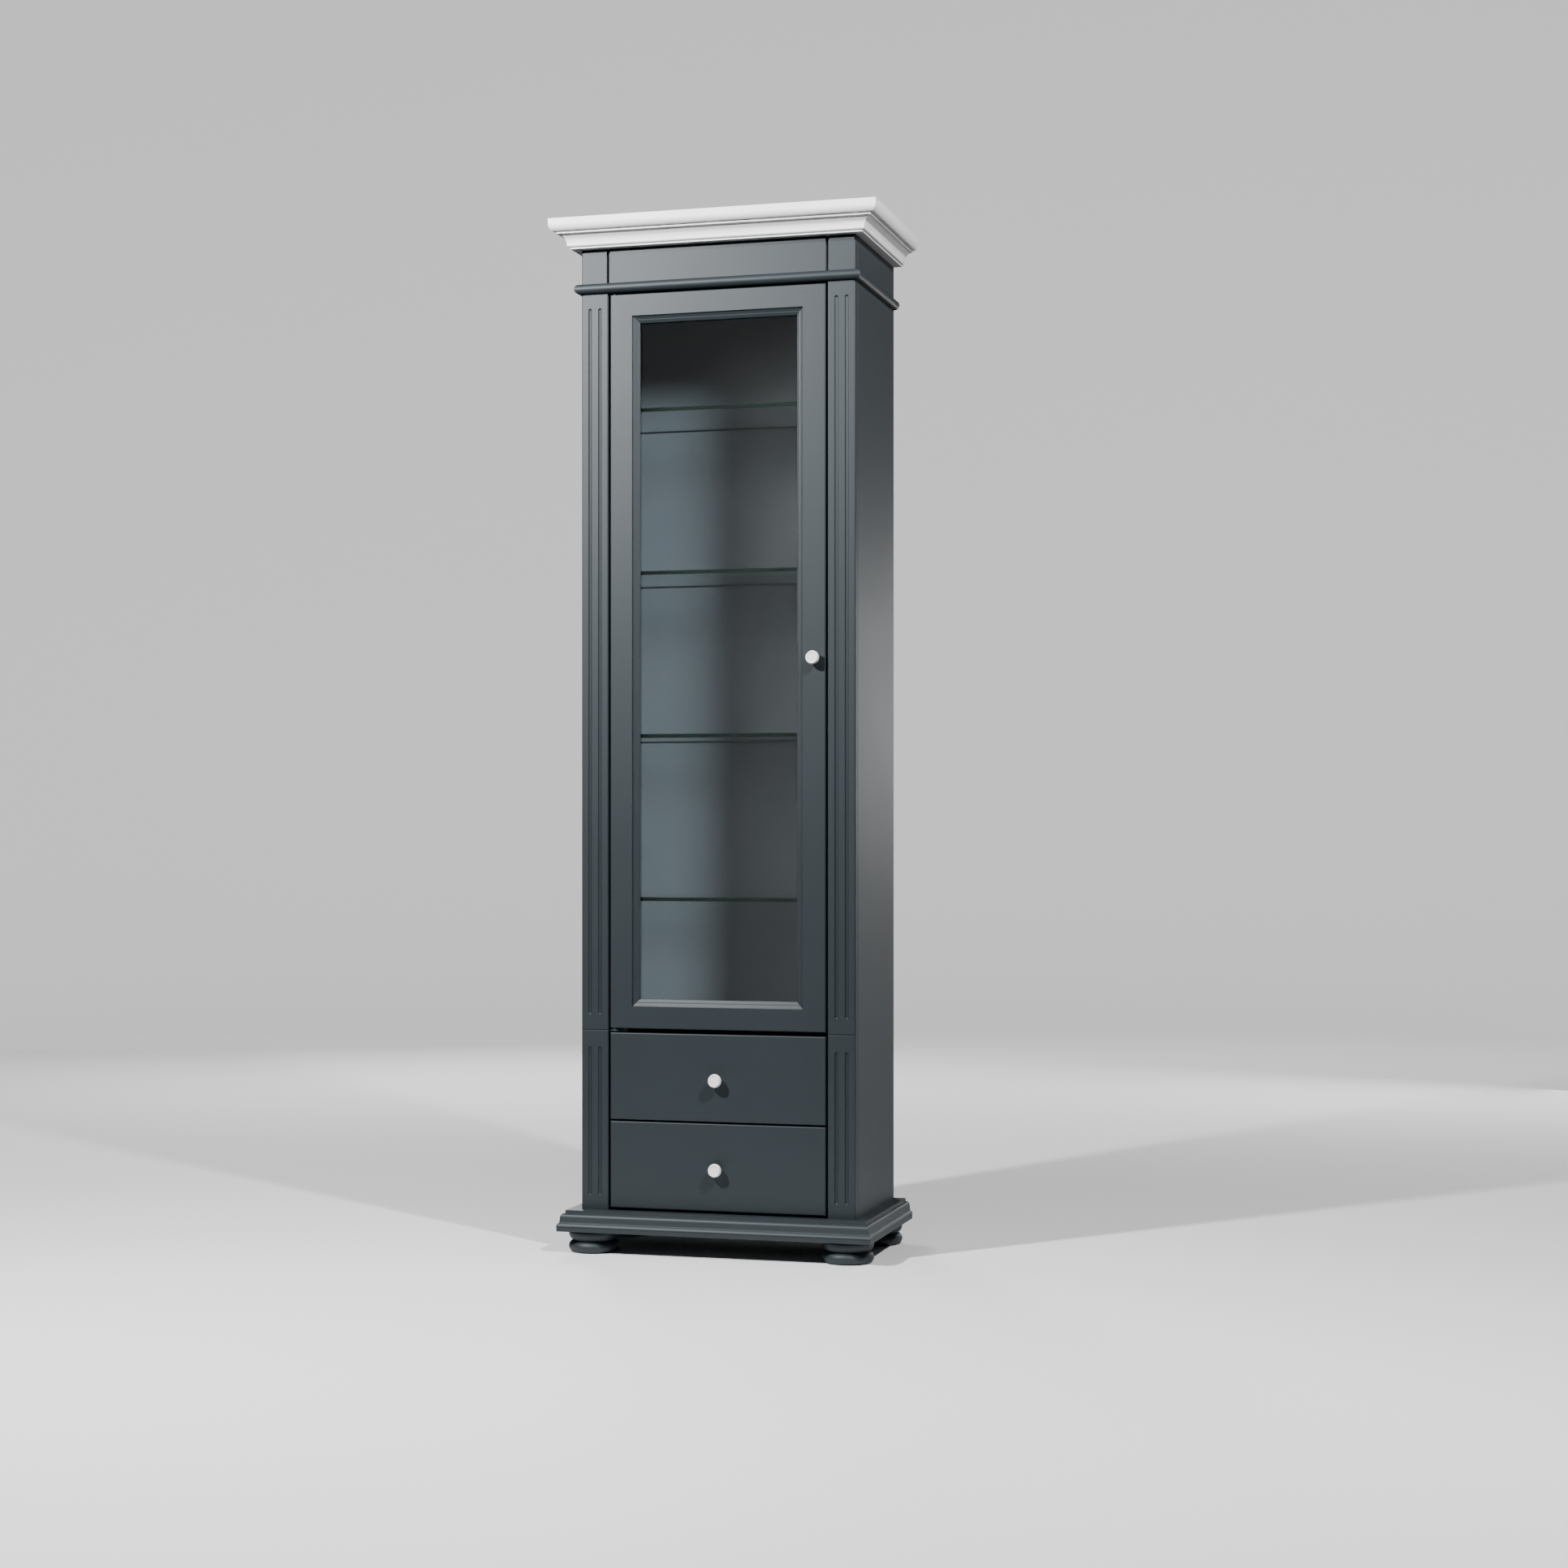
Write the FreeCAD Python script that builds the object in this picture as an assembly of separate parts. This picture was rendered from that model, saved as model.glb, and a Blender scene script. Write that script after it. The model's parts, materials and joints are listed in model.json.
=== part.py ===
import FreeCAD, Part
import math
import os

# Tall display cabinet: a glazed door with glass shelves behind it, over two drawers.
# Millimetres, +Z up, the front faces -Y. The origin lies on the floor, under the middle of the
# overall width and depth. Fluted pilasters flank the fronts, a crown, a bead and a base moulding
# are mitred round the front and both sides, and four turned feet carry the cabinet.

os.makedirs("parts", exist_ok=True)

# Carcase boards
carcase_width = 600.0
carcase_depth = 344.0
panel_thickness = 18.0
back_thickness = 6.0
back_inset = 8.0
back_groove_depth = 8.0
board_play = 0.3
board_setback = 1.5

# Heights, from the floor upwards
foot_height = 47.0
base_height = 44.0
drawer_floor_gap = 5.0
drawer_front_height = 184.0
drawer_gap = 3.5
door_drawer_gap = 9.0
door_height = 1554.0
door_top_gap = 3.5
frieze_height = 94.0
crown_height = 60.0

# Pilasters, frieze and the gaps round the fronts
pilaster_width = 60.0
pilaster_thickness = 19.0
edge_round = 3.0
joint_groove_width = 3.4
joint_groove_depth = 1.7
frieze_groove_width = 6.4
frieze_groove_depth = 5.0
frieze_groove_round = 1.0
front_gap = 4.0
front_thickness = 22.0
flute_width = 7.8
flute_depth = 3.0
flute_spacing = 22.0
upper_flute_foot = 32.5
upper_flute_head = 30.6
lower_flute_foot = 29.3
lower_flute_head = 35.0

# Mouldings: an outline is a start and its steps, as shares of overhang and height.
# A step is an end point, or a pair of points for an arc: one on the arc and its end.
crown_overhang = 56.0
crown_shares = [
    (0.0, 0.0),
    (0.34, 0.0),
    (0.34, 0.06),
    ((0.405, 0.075), (0.44, 0.125)),
    ((0.495, 0.335), (0.65, 0.49)),
    (0.76, 0.49),
    (0.76, 0.567),
    (0.857, 0.567),
    ((0.9615, 0.666), (1.0, 0.8)),
    (1.0, 1.0),
    (0.0, 1.0),
]
base_overhang = 43.0
base_shares = [
    (0.0, 0.0),
    (1.0, 0.0),
    (1.0, 0.216),
    (0.79, 0.32),
    ((0.685, 0.5), (0.655, 0.76)),
    ((0.615, 0.87), (0.51, 0.91)),
    (0.51, 1.0),
    (0.0, 1.0),
]
bead_overhang = 13.0
bead_height = 21.0
bead_shares = [
    (0.0, 0.0),
    (0.2, 0.0),
    ((1.0, 0.5), (0.2, 1.0)),
    (0.0, 1.0),
]
plinth_rail_width = 60.0

# Turned feet: outline as shares of radius and height, then the tenon on top
foot_radius = 54.0
foot_edge_inset = 10.0
foot_shares = [
    (0.0, 0.0),
    (0.83, 0.0),
    ((1.0, 0.27), (0.86, 0.5)),
    (0.82, 0.53),
    ((0.97, 0.7), (0.99, 0.9)),
    (0.93, 1.0),
    (0.0, 1.0),
]
tenon_radius = 8.0
foot_tenon_length = 26.0
tenon_play = 0.1

# Glass shelves and their pins: heights as shares of the display space
shelf_count = 4
shelf_thickness = 8.0
first_shelf_share = 0.1702
shelf_spacing_share = 0.22325
shelf_front_setback = 14.0
shelf_back_gap = 4.0
shelf_side_gap = 2.0
shelf_edge_chamfer = 0.8
pin_inset = 40.0
pin_radius = 2.5
pin_hole_depth = 10.0
pin_play = 0.05
pad_length = 9.0
pad_width = 8.0
pad_height = 6.0

# Door frame, glazing and fittings
stile_width = 49.0
rail_width = 47.0
rail_tenon_length = 25.0
rail_tenon_thickness = 8.0
rail_tenon_shoulder = 10.0
glazing_width = 14.8
glazing_depth = 14.0
glazing_shares = [
    (0.0, 1.0),
    (0.0, 0.22),
    ((0.21, 0.25), (0.34, 0.44)),
    ((0.47, 0.56), (0.66, 0.58)),
    ((0.88, 0.65), (1.0, 0.88)),
    (1.0, 1.0),
]
glass_thickness = 4.0
glass_play = 2.0
rear_bead_width = 9.0
rear_bead_chamfer = 2.0
pivot_inset = 8.0
pivot_radius = 3.0
pivot_running_play = 0.05
pivot_engagement = 9.0
pivot_seat_gap = 0.3
pivot_plate_thickness = 3.0
pivot_plate_length = 30.0
pivot_plate_margin = 6.0
bush_wall = 1.4
bush_length = 14.0
bush_play = 0.05
catch_length = 46.0
catch_depth = 14.0
catch_height = 12.0
catch_edge_inset = 60.0
catch_pole_thickness = 2.0
catch_pole_spacing = 5.0
catch_pole_proud = 0.5
strike_length = 38.0
strike_height = 12.0
strike_thickness = 1.5
strike_top_margin = 1.0
catch_gap = 0.3

# Knobs: outline as shares of radius and length, turned round the axis that points out of the front
knob_radius = 14.0
knob_length = 22.0
knob_shares = [
    (0.0, 0.0),
    (0.56, 0.0),
    (0.56, 0.06),
    ((0.4, 0.2), (0.45, 0.37)),
    ((0.6, 0.47), (0.86, 0.52)),
    ((0.99, 0.6), (0.97, 0.8)),
    ((0.93, 0.94), (0.84, 1.0)),
    ((0.76, 0.99), (0.7, 0.95)),
    (0.0, 0.95),
]
screw_radius = 2.0
screw_hole_play = 0.25
screw_bite = 11.0
screw_head_radius = 4.2
screw_head_height = 2.6

# Drawer boxes and runners
drawer_side_thickness = 12.0
drawer_box_clearance = 5.0
drawer_box_drop = 36.0
drawer_back_gap = 8.0
drawer_bottom_thickness = 6.0
drawer_groove_depth = 5.0
drawer_groove_lift = 10.0
drawer_knob_drop = 4.0
runner_thickness = 12.5
runner_height = 36.0
runner_wall = 1.5
runner_play = 0.3
runner_side_gap = 2.5
runner_back_gap = 6.0

# Extra reach of every cutting shape past the face that it cuts, and the distance taken as touching
cut_overrun = 5.0
same_place = 0.0001

# Places worked out from the sizes above
side_x = carcase_width / 2
inner_x = side_x - panel_thickness
opening_x = side_x - pilaster_width
front_x = opening_x - front_gap
front_y = (crown_overhang - carcase_depth) / 2
back_y = front_y + carcase_depth
frame_back_y = front_y + pilaster_thickness
fronts_back_y = front_y + front_thickness
back_panel_rear_y = back_y - back_inset
back_panel_y = back_panel_rear_y - back_thickness
carcase_z = foot_height + base_height
lower_drawer_z = carcase_z + drawer_floor_gap
upper_drawer_z = lower_drawer_z + drawer_front_height + drawer_gap
door_z = upper_drawer_z + drawer_front_height + door_drawer_gap
door_top_z = door_z + door_height
split_z = door_z - door_drawer_gap / 2
frieze_z = door_top_z + door_top_gap
carcase_top_z = frieze_z + frieze_height
bottom_top_z = carcase_z + panel_thickness
divider_z = split_z - panel_thickness / 2
divider_top_z = split_z + panel_thickness / 2
pivot_x = -front_x + pivot_inset
pivot_y = front_y + pivot_inset
door_swing_reach = math.hypot(pivot_inset, front_thickness - pivot_inset)
board_front_y = max(frame_back_y, pivot_y + door_swing_reach) + board_setback
glazing_x = front_x - stile_width
glazing_z = door_z + rail_width
glazing_top_z = door_top_z - rail_width


def point(x, y, z):
    return FreeCAD.Vector(x, y, z)


def box(x_range, y_range, z_range):
    """Box between two values on each axis."""
    size = [high - low for low, high in (x_range, y_range, z_range)]
    return Part.makeBox(*size, point(x_range[0], y_range[0], z_range[0]))


def mirrored(shape):
    """The same piece on the other side of the cabinet."""
    return shape.mirror(point(0, 0, 0), point(1, 0, 0))


def bar(radius, start, end):
    """Round bar from one point to another."""
    run = end - start
    return Part.makeCylinder(radius, run.Length, start, run)


def prism(corners, run):
    """Straight prism on a polygon."""
    return Part.Face(Part.makePolygon(corners + corners[:1])).extrude(run)


def outline_face(shares, place):
    """Flat face whose outline runs along the shares, which place() turns into points."""
    start = here = shares[0]
    edges = []
    for step in shares[1:] + [start]:
        if isinstance(step[0], tuple):
            through, end = step
            edges.append(Part.Arc(place(*here), place(*through), place(*end)).toShape())
        else:
            end = step
            edges.append(Part.LineSegment(place(*here), place(*end)).toShape())
        here = end
    return Part.Face(Part.Wire(edges))


def turned(shares, radius, length):
    """Solid of revolution on +Z, from shares of its radius and length."""
    face = outline_face(shares, lambda out, up: point(out * radius, 0, up * length))
    return face.revolve(point(0, 0, 0), point(0, 0, 1), 360)


def same(value, target):
    return abs(value - target) < same_place


def front_edges(shape):
    """Edges that lie in the plane of the fronts."""
    return [edge for edge in shape.Edges if all(same(end.Y, front_y) for end in edge.Vertexes)]


def front_uprights(shape):
    """Upright edges that lie in the plane of the fronts."""
    return [edge for edge in front_edges(shape) if same(edge.Vertexes[0].X, edge.Vertexes[-1].X)]


def front_board(x_range, z_range):
    """Board of a front, with its four front edges rounded."""
    board = box(x_range, (front_y, fronts_back_y), z_range)
    return board.makeFillet(edge_round, front_edges(board))


def frame_block(x_range, z_range):
    """Board of the fixed front frame, with its two upright front edges rounded."""
    block = box(x_range, (front_y, frame_back_y), z_range)
    return block.makeFillet(edge_round, front_uprights(block))


def side_groove(z_range):
    """Cutter of the small upright groove where the front frame meets the right side panel."""
    reach = side_x + joint_groove_depth
    corners = [
        point(side_x - joint_groove_depth, frame_back_y, z_range[0]),
        point(reach, frame_back_y - joint_groove_width, z_range[0]),
        point(reach, frame_back_y + joint_groove_width, z_range[0]),
    ]
    return prism(corners, point(0, 0, z_range[1] - z_range[0]))


def split_groove():
    """Cutter of the small level groove between the upper and the lower right pilaster."""
    start_x = opening_x - cut_overrun
    reach = front_y - joint_groove_depth
    corners = [
        point(start_x, front_y + joint_groove_depth, split_z),
        point(start_x, reach, split_z - joint_groove_width),
        point(start_x, reach, split_z + joint_groove_width),
    ]
    return prism(corners, point(pilaster_width + 2 * cut_overrun, 0, 0))


def flute(x, z_range):
    """Round-ended cutter of one flute; its axis stands in front of the face."""
    half_width = flute_width / 2
    radius = (half_width * half_width + flute_depth * flute_depth) / (2 * flute_depth)
    axis_y = front_y + flute_depth - radius
    foot = point(x, axis_y, z_range[0] + half_width)
    head = point(x, axis_y, z_range[1] - half_width)
    cutter = bar(radius, foot, head)
    return cutter.fuse([Part.makeSphere(radius, end) for end in (foot, head)]).removeSplitter()


def pilaster(z_range, flute_foot, flute_head):
    """Right-hand pilaster with its two flutes."""
    block = frame_block((opening_x, side_x), z_range)
    middle_x = (opening_x + side_x) / 2
    flute_range = (z_range[0] + flute_foot, z_range[1] - flute_head)
    flutes = [flute(middle_x + side * flute_spacing / 2, flute_range) for side in (-1, 1)]
    return block.cut(flutes + [side_groove(z_range), split_groove()])


def three_sided_moulding(shares, overhang, start_z, height):
    """Front piece, left and right return of a moulding mitred at the two front corners."""
    reach = overhang + cut_overrun
    depth = point(0, 0, height)

    def plan(corners):
        return prism([point(x, y, start_z) for x, y in corners], depth)

    inner_corner = (side_x - cut_overrun, front_y + cut_overrun)
    outer_corner = (side_x + reach, front_y - reach)
    front_plan = plan([
        (-inner_corner[0], inner_corner[1]),
        inner_corner,
        outer_corner,
        (-outer_corner[0], outer_corner[1]),
    ])
    right_plan = plan([inner_corner, outer_corner, (outer_corner[0], back_y), (inner_corner[0], back_y)])
    end_x = side_x + overhang
    start_y = front_y - overhang
    front_face = outline_face(
        shares, lambda out, up: point(-end_x, front_y - out * overhang, start_z + up * height))
    right_face = outline_face(
        shares, lambda out, up: point(side_x + out * overhang, start_y, start_z + up * height))
    front = front_face.extrude(point(2 * end_x, 0, 0)).common(front_plan)
    right = right_face.extrude(point(0, back_y - start_y, 0)).common(right_plan)
    return front, mirrored(right), right


def glazing_frame(shares, width, start_y, depth):
    """Four strips mitred round the inside of the door frame: left, right, bottom, top."""
    reach = width + cut_overrun
    run = point(0, depth, 0)
    middle_z = (glazing_z + glazing_top_z) / 2

    def plan(corners):
        return prism([point(x, start_y, z) for x, z in corners], run)

    left_plan = plan([
        (-glazing_x - cut_overrun, glazing_z - cut_overrun),
        (-glazing_x + reach, glazing_z + reach),
        (-glazing_x + reach, glazing_top_z - reach),
        (-glazing_x - cut_overrun, glazing_top_z + cut_overrun),
    ])
    bottom_plan = plan([
        (-glazing_x - cut_overrun, glazing_z - cut_overrun),
        (glazing_x + cut_overrun, glazing_z - cut_overrun),
        (glazing_x - reach, glazing_z + reach),
        (-glazing_x + reach, glazing_z + reach),
    ])
    left_face = outline_face(
        shares, lambda inward, back: point(-glazing_x + inward * width, start_y + back * depth, glazing_z))
    bottom_face = outline_face(
        shares, lambda inward, back: point(-glazing_x, start_y + back * depth, glazing_z + inward * width))
    left = left_face.extrude(point(0, 0, glazing_top_z - glazing_z)).common(left_plan)
    bottom = bottom_face.extrude(point(2 * glazing_x, 0, 0)).common(bottom_plan)
    top = bottom.mirror(point(0, 0, middle_z), point(0, 0, 1))
    return [left, mirrored(left), bottom, top]


def shelf_heights():
    """Height of each shelf's underside."""
    space = frieze_z - divider_top_z
    first = divider_top_z + first_shelf_share * space
    return [first + index * shelf_spacing_share * space for index in range(shelf_count)]


shelf_x = inner_x - shelf_side_gap
shelf_y_range = (board_front_y + shelf_front_setback, back_panel_y - shelf_back_gap)
pin_places = [
    (y, z - pad_height / 2)
    for z in shelf_heights()
    for y in (shelf_y_range[0] + pin_inset, shelf_y_range[1] - pin_inset)
]


def side_panel():
    """Right side panel with the back panel's groove and the shelf pin holes."""
    z_range = (carcase_z, carcase_top_z)
    panel = box((inner_x, side_x), (frame_back_y, back_y), z_range)
    groove_x = (inner_x - cut_overrun, inner_x + back_groove_depth)
    groove = box(groove_x, (back_panel_y, back_panel_rear_y), z_range)
    hole_radius = pin_radius + pin_play
    holes = [
        bar(hole_radius, point(inner_x - cut_overrun, y, z), point(inner_x + pin_hole_depth, y, z))
        for y, z in pin_places
    ]
    return panel.cut(holes + [groove, side_groove(z_range)])


def shelf_pins():
    """Right-hand pins: a round shank in the side panel and a pad under the glass."""
    pins = []
    for y, z in pin_places:
        pad_y = (y - pad_width / 2, y + pad_width / 2)
        pad_z = (z - pad_height / 2, z + pad_height / 2)
        pad = box((inner_x - pad_length, inner_x), pad_y, pad_z)
        shank = bar(pin_radius, point(inner_x, y, z), point(inner_x + pin_hole_depth, y, z))
        pins.append(pad.fuse(shank))
    return pins


def carcase_boards():
    """Sides, level boards and back."""
    right = side_panel()
    across = (-inner_x, inner_x)
    board_y = (board_front_y, back_panel_y)
    back_x = inner_x + back_groove_depth - board_play
    divider = box(across, board_y, (divider_z, divider_top_z)).cut(pivot_leaf())
    return {
        "side_panel_left": mirrored(right),
        "side_panel_right": right,
        "bottom_panel": box(across, board_y, (carcase_z, bottom_top_z)),
        "divider_panel": divider,
        "top_panel": box(across, (frame_back_y, back_panel_y), (frieze_z, frieze_z + panel_thickness)),
        "back_panel": box((-back_x, back_x), (back_panel_y, back_panel_rear_y), (carcase_z, carcase_top_z)),
    }


def frieze():
    """Frieze panel and right-hand block, parted by an upright groove over the pilaster's edge."""
    z_range = (frieze_z, carcase_top_z)
    frame_y = (front_y, frame_back_y)
    half_groove = frieze_groove_width / 2
    groove = box(
        (opening_x - half_groove, opening_x + half_groove),
        (front_y - cut_overrun, front_y + frieze_groove_depth),
        z_range)
    panel = box((-opening_x, opening_x), frame_y, z_range).cut([groove, mirrored(groove)])
    panel = panel.makeFillet(frieze_groove_round, front_uprights(panel)).cut(pivot_top_plate())
    block = box((opening_x, side_x), frame_y, z_range).cut(groove)
    for edge_x, radius in ((opening_x + half_groove, frieze_groove_round), (side_x, edge_round)):
        edges = [edge for edge in front_uprights(block) if same(edge.Vertexes[0].X, edge_x)]
        block = block.makeFillet(radius, edges)
    return panel, block.cut(side_groove(z_range))


def front_frame():
    """Fluted pilasters and the frieze above the door."""
    upper = pilaster((split_z, frieze_z), upper_flute_foot, upper_flute_head)
    lower = pilaster((carcase_z, split_z), lower_flute_foot, lower_flute_head)
    frieze_panel, block = frieze()
    bead = three_sided_moulding(bead_shares, bead_overhang, frieze_z, bead_height)
    return {
        "pilaster_upper_left": mirrored(upper),
        "pilaster_upper_right": upper,
        "pilaster_lower_left": mirrored(lower),
        "pilaster_lower_right": lower,
        "frieze_panel": frieze_panel,
        "frieze_blocks": Part.makeCompound([mirrored(block), block]),
        "frieze_bead_front": bead[0],
        "frieze_bead_returns": Part.makeCompound(bead[1:]),
    }


def crown():
    """White crown round three sides, with the board that it is fixed to."""
    front, left, right = three_sided_moulding(crown_shares, crown_overhang, carcase_top_z, crown_height)
    board = box((-side_x, side_x), (front_y, back_y), (carcase_top_z, carcase_top_z + panel_thickness))
    return {"crown_front": front, "crown_left": left, "crown_right": right, "crown_board": board}


def foot_places():
    """Plan place of each foot, by name."""
    inset = foot_edge_inset + foot_radius - base_overhang
    x = side_x - inset
    front, back = front_y + inset, back_y - foot_edge_inset - foot_radius
    return {
        "foot_front_left": (-x, front),
        "foot_front_right": (x, front),
        "foot_back_left": (-x, back),
        "foot_back_right": (x, back),
    }


def base():
    """Base moulding, the plinth rails behind it and the turned feet."""
    front, left, right = three_sided_moulding(base_shares, base_overhang, foot_height, base_height)
    z_range = (foot_height, carcase_z)
    rail_x = side_x - plinth_rail_width
    side_rail = box((rail_x, side_x), (front_y, back_y), z_range)
    rails = [mirrored(side_rail), side_rail]
    for rail_y in ((front_y, front_y + plinth_rail_width), (back_y - plinth_rail_width, back_y)):
        rails.append(box((-rail_x, rail_x), rail_y, z_range))
    foot = turned(foot_shares, foot_radius, foot_height)
    tenon_top_z = foot_height + foot_tenon_length
    foot = foot.fuse(bar(tenon_radius, point(0, 0, foot_height), point(0, 0, tenon_top_z)))
    nodes = {"base_moulding_front": front, "base_moulding_left": left, "base_moulding_right": right}
    mortises = []
    for name, (x, y) in foot_places().items():
        nodes[name] = foot.translated(point(x, y, 0))
        mortise_top = point(x, y, tenon_top_z + tenon_play)
        mortises.append(bar(tenon_radius + tenon_play, point(x, y, foot_height - cut_overrun), mortise_top))
    nodes["plinth_rails"] = Part.makeCompound([rail.cut(mortises) for rail in rails])
    return nodes


def shelves():
    """Glass shelves with ground edges, numbered from the lowest, and their pins."""
    nodes = {}
    for number, z in enumerate(shelf_heights(), start=1):
        shelf = box((-shelf_x, shelf_x), shelf_y_range, (z, z + shelf_thickness))
        nodes[f"glass_shelf_{number}"] = shelf.makeChamfer(shelf_edge_chamfer, shelf.Edges)
    right_pins = shelf_pins()
    nodes["shelf_pins"] = Part.makeCompound(right_pins + [mirrored(pin) for pin in right_pins])
    return nodes


def pivot_top_plate():
    """Plate of the top pivot, let into the underside of the frieze."""
    x_range = (-front_x, -front_x + pivot_plate_length)
    y_range = (pivot_y - pivot_plate_margin, pivot_y + pivot_plate_margin)
    return box(x_range, y_range, (frieze_z, frieze_z + pivot_plate_thickness))


def pivot_leaf():
    """Upright leaf of the bottom pivot, let into the divider's front edge."""
    x_range = (-front_x, -front_x + pivot_plate_length)
    margin = panel_thickness / 2 - pivot_plate_thickness
    y_range = (board_front_y, board_front_y + pivot_plate_thickness)
    return box(x_range, y_range, (split_z - margin, split_z + margin))


def hinge_pivots():
    """Top and bottom pivot of the door: plate, collar and pin."""
    bush_radius = pivot_radius + pivot_running_play + bush_wall
    plate_half = pivot_plate_thickness / 2

    def on_axis(z):
        return point(pivot_x, pivot_y, z)

    top = pivot_top_plate().fuse([
        bar(bush_radius, on_axis(frieze_z), on_axis(door_top_z + pivot_seat_gap)),
        bar(pivot_radius, on_axis(frieze_z), on_axis(door_top_z - pivot_engagement)),
    ])
    arm_x = (pivot_x - pivot_inset, pivot_x + pivot_inset)
    arm_y = (pivot_y - pivot_plate_margin, board_front_y)
    arm = box(arm_x, arm_y, (split_z - plate_half, split_z + plate_half))
    bottom = pivot_leaf().fuse([
        arm,
        bar(bush_radius, on_axis(split_z), on_axis(door_z - pivot_seat_gap)),
        bar(pivot_radius, on_axis(split_z), on_axis(door_z + pivot_engagement)),
    ])
    return Part.makeCompound([top.removeSplitter(), bottom.removeSplitter()])


def magnetic_catch():
    """Catch under the top panel: body with two pole plates that reach towards the strike."""
    middle_x = front_x - catch_edge_inset
    pole_y = fronts_back_y + strike_thickness + catch_gap
    body_y = pole_y + catch_pole_proud
    x_range = (middle_x - catch_length / 2, middle_x + catch_length / 2)
    body = box(x_range, (body_y, body_y + catch_depth), (frieze_z - catch_height, frieze_z))
    pole_x = (middle_x - strike_length / 2, middle_x + strike_length / 2)
    poles = []
    for side in (-1, 1):
        z = frieze_z - catch_height / 2 + side * catch_pole_spacing / 2
        pole_z = (z - catch_pole_thickness / 2, z + catch_pole_thickness / 2)
        poles.append(box(pole_x, (pole_y, body_y + catch_pole_proud), pole_z))
    return body.fuse(poles).removeSplitter()


def screw_hole(x, z):
    """Cutter of the knob screw's hole through a front."""
    start = point(x, front_y - cut_overrun, z)
    return bar(screw_radius + screw_hole_play, start, point(x, fronts_back_y + cut_overrun, z))


def knob_and_screw(x, z):
    """Turned knob on a front and the screw that holds it from behind."""
    knob = turned(knob_shares, knob_radius, knob_length)
    socket = bar(screw_radius + pin_play, point(0, 0, -cut_overrun), point(0, 0, screw_bite + pin_play))
    knob = knob.cut(socket)
    knob.rotate(point(0, 0, 0), point(1, 0, 0), 90)
    knob.translate(point(x, front_y, z))
    head_y = fronts_back_y + screw_head_height
    shank = bar(screw_radius, point(x, front_y - screw_bite, z), point(x, fronts_back_y, z))
    head = bar(screw_head_radius, point(x, fronts_back_y, z), point(x, head_y, z))
    return knob, shank.fuse(head).removeSplitter()


def door():
    """Glazed door: frame with stub tenons, mitred mouldings, glass, beads and fittings."""
    slab = front_board((-front_x, front_x), (door_z, door_top_z))
    everywhere_y = (front_y - cut_overrun, fronts_back_y + cut_overrun)
    below, above = door_z - cut_overrun, door_top_z + cut_overrun
    middle_y = (front_y + fronts_back_y) / 2
    tenon_y = (middle_y - rail_tenon_thickness / 2, middle_y + rail_tenon_thickness / 2)
    tenon_x = glazing_x + rail_tenon_length
    knob_x = front_x - stile_width / 2
    knob_z = (door_z + door_top_z) / 2

    def rail(z_range, tenon_z):
        body = slab.common(box((-glazing_x, glazing_x), everywhere_y, z_range))
        return body.fuse(box((-tenon_x, tenon_x), tenon_y, tenon_z)).removeSplitter()

    bottom_tenon = (door_z + rail_tenon_shoulder, glazing_z - rail_tenon_shoulder)
    top_tenon = (glazing_top_z + rail_tenon_shoulder, door_top_z - rail_tenon_shoulder)
    mortise_x = tenon_x + board_play
    mortises = [box((-mortise_x, mortise_x), tenon_y, tenon_z) for tenon_z in (bottom_tenon, top_tenon)]
    bore_radius = pivot_radius + pivot_running_play
    bush_radius = bore_radius + bush_wall
    bushes, seats = [], []
    for end_z, inward in ((door_z, 1), (door_top_z, -1)):
        outer = point(pivot_x, pivot_y, end_z)
        inner = point(pivot_x, pivot_y, end_z + inward * bush_length)
        bushes.append(bar(bush_radius, outer, inner).cut(bar(bore_radius, outer, inner)))
        start = point(pivot_x, pivot_y, end_z - inward * cut_overrun)
        seats.append(bar(bush_radius + bush_play, start, inner))
    stile_left = slab.common(box((-front_x - cut_overrun, -glazing_x), everywhere_y, (below, above)))
    stile_right = slab.common(box((glazing_x, front_x + cut_overrun), everywhere_y, (below, above)))

    glass_y = front_y + glazing_depth
    glass_back_y = glass_y + glass_thickness
    bead_depth = fronts_back_y - glass_back_y
    glass_x = glazing_x - glass_play
    glass_z = (glazing_z + glass_play, glazing_top_z - glass_play)
    chamfer_shares = (1 - rear_bead_chamfer / rear_bead_width, 1 - rear_bead_chamfer / bead_depth)
    rear_bead_shares = [(0, 0), (1, 0), (1, chamfer_shares[1]), (chamfer_shares[0], 1), (0, 1)]
    mouldings = glazing_frame(glazing_shares, glazing_width, front_y, glazing_depth)
    beads = glazing_frame(rear_bead_shares, rear_bead_width, glass_back_y, bead_depth)

    strike_x = front_x - catch_edge_inset
    strike_top_z = door_top_z - strike_top_margin
    strike = box(
        (strike_x - strike_length / 2, strike_x + strike_length / 2),
        (fronts_back_y, fronts_back_y + strike_thickness),
        (strike_top_z - strike_height, strike_top_z))
    knob, screw = knob_and_screw(knob_x, knob_z)
    return {
        "door_stile_left": stile_left.cut(mortises + seats),
        "door_stile_right": stile_right.cut(mortises + [screw_hole(knob_x, knob_z)]),
        "door_rail_bottom": rail((below, glazing_z), bottom_tenon),
        "door_rail_top": rail((glazing_top_z, above), top_tenon),
        "door_glass": box((-glass_x, glass_x), (glass_y, glass_back_y), glass_z),
        "glazing_mouldings": Part.makeCompound(mouldings),
        "glazing_beads": Part.makeCompound(beads),
        "hinge_bushes": Part.makeCompound(bushes),
        "catch_strike": strike,
        "door_knob": knob,
        "door_knob_screw": screw,
    }


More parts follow.
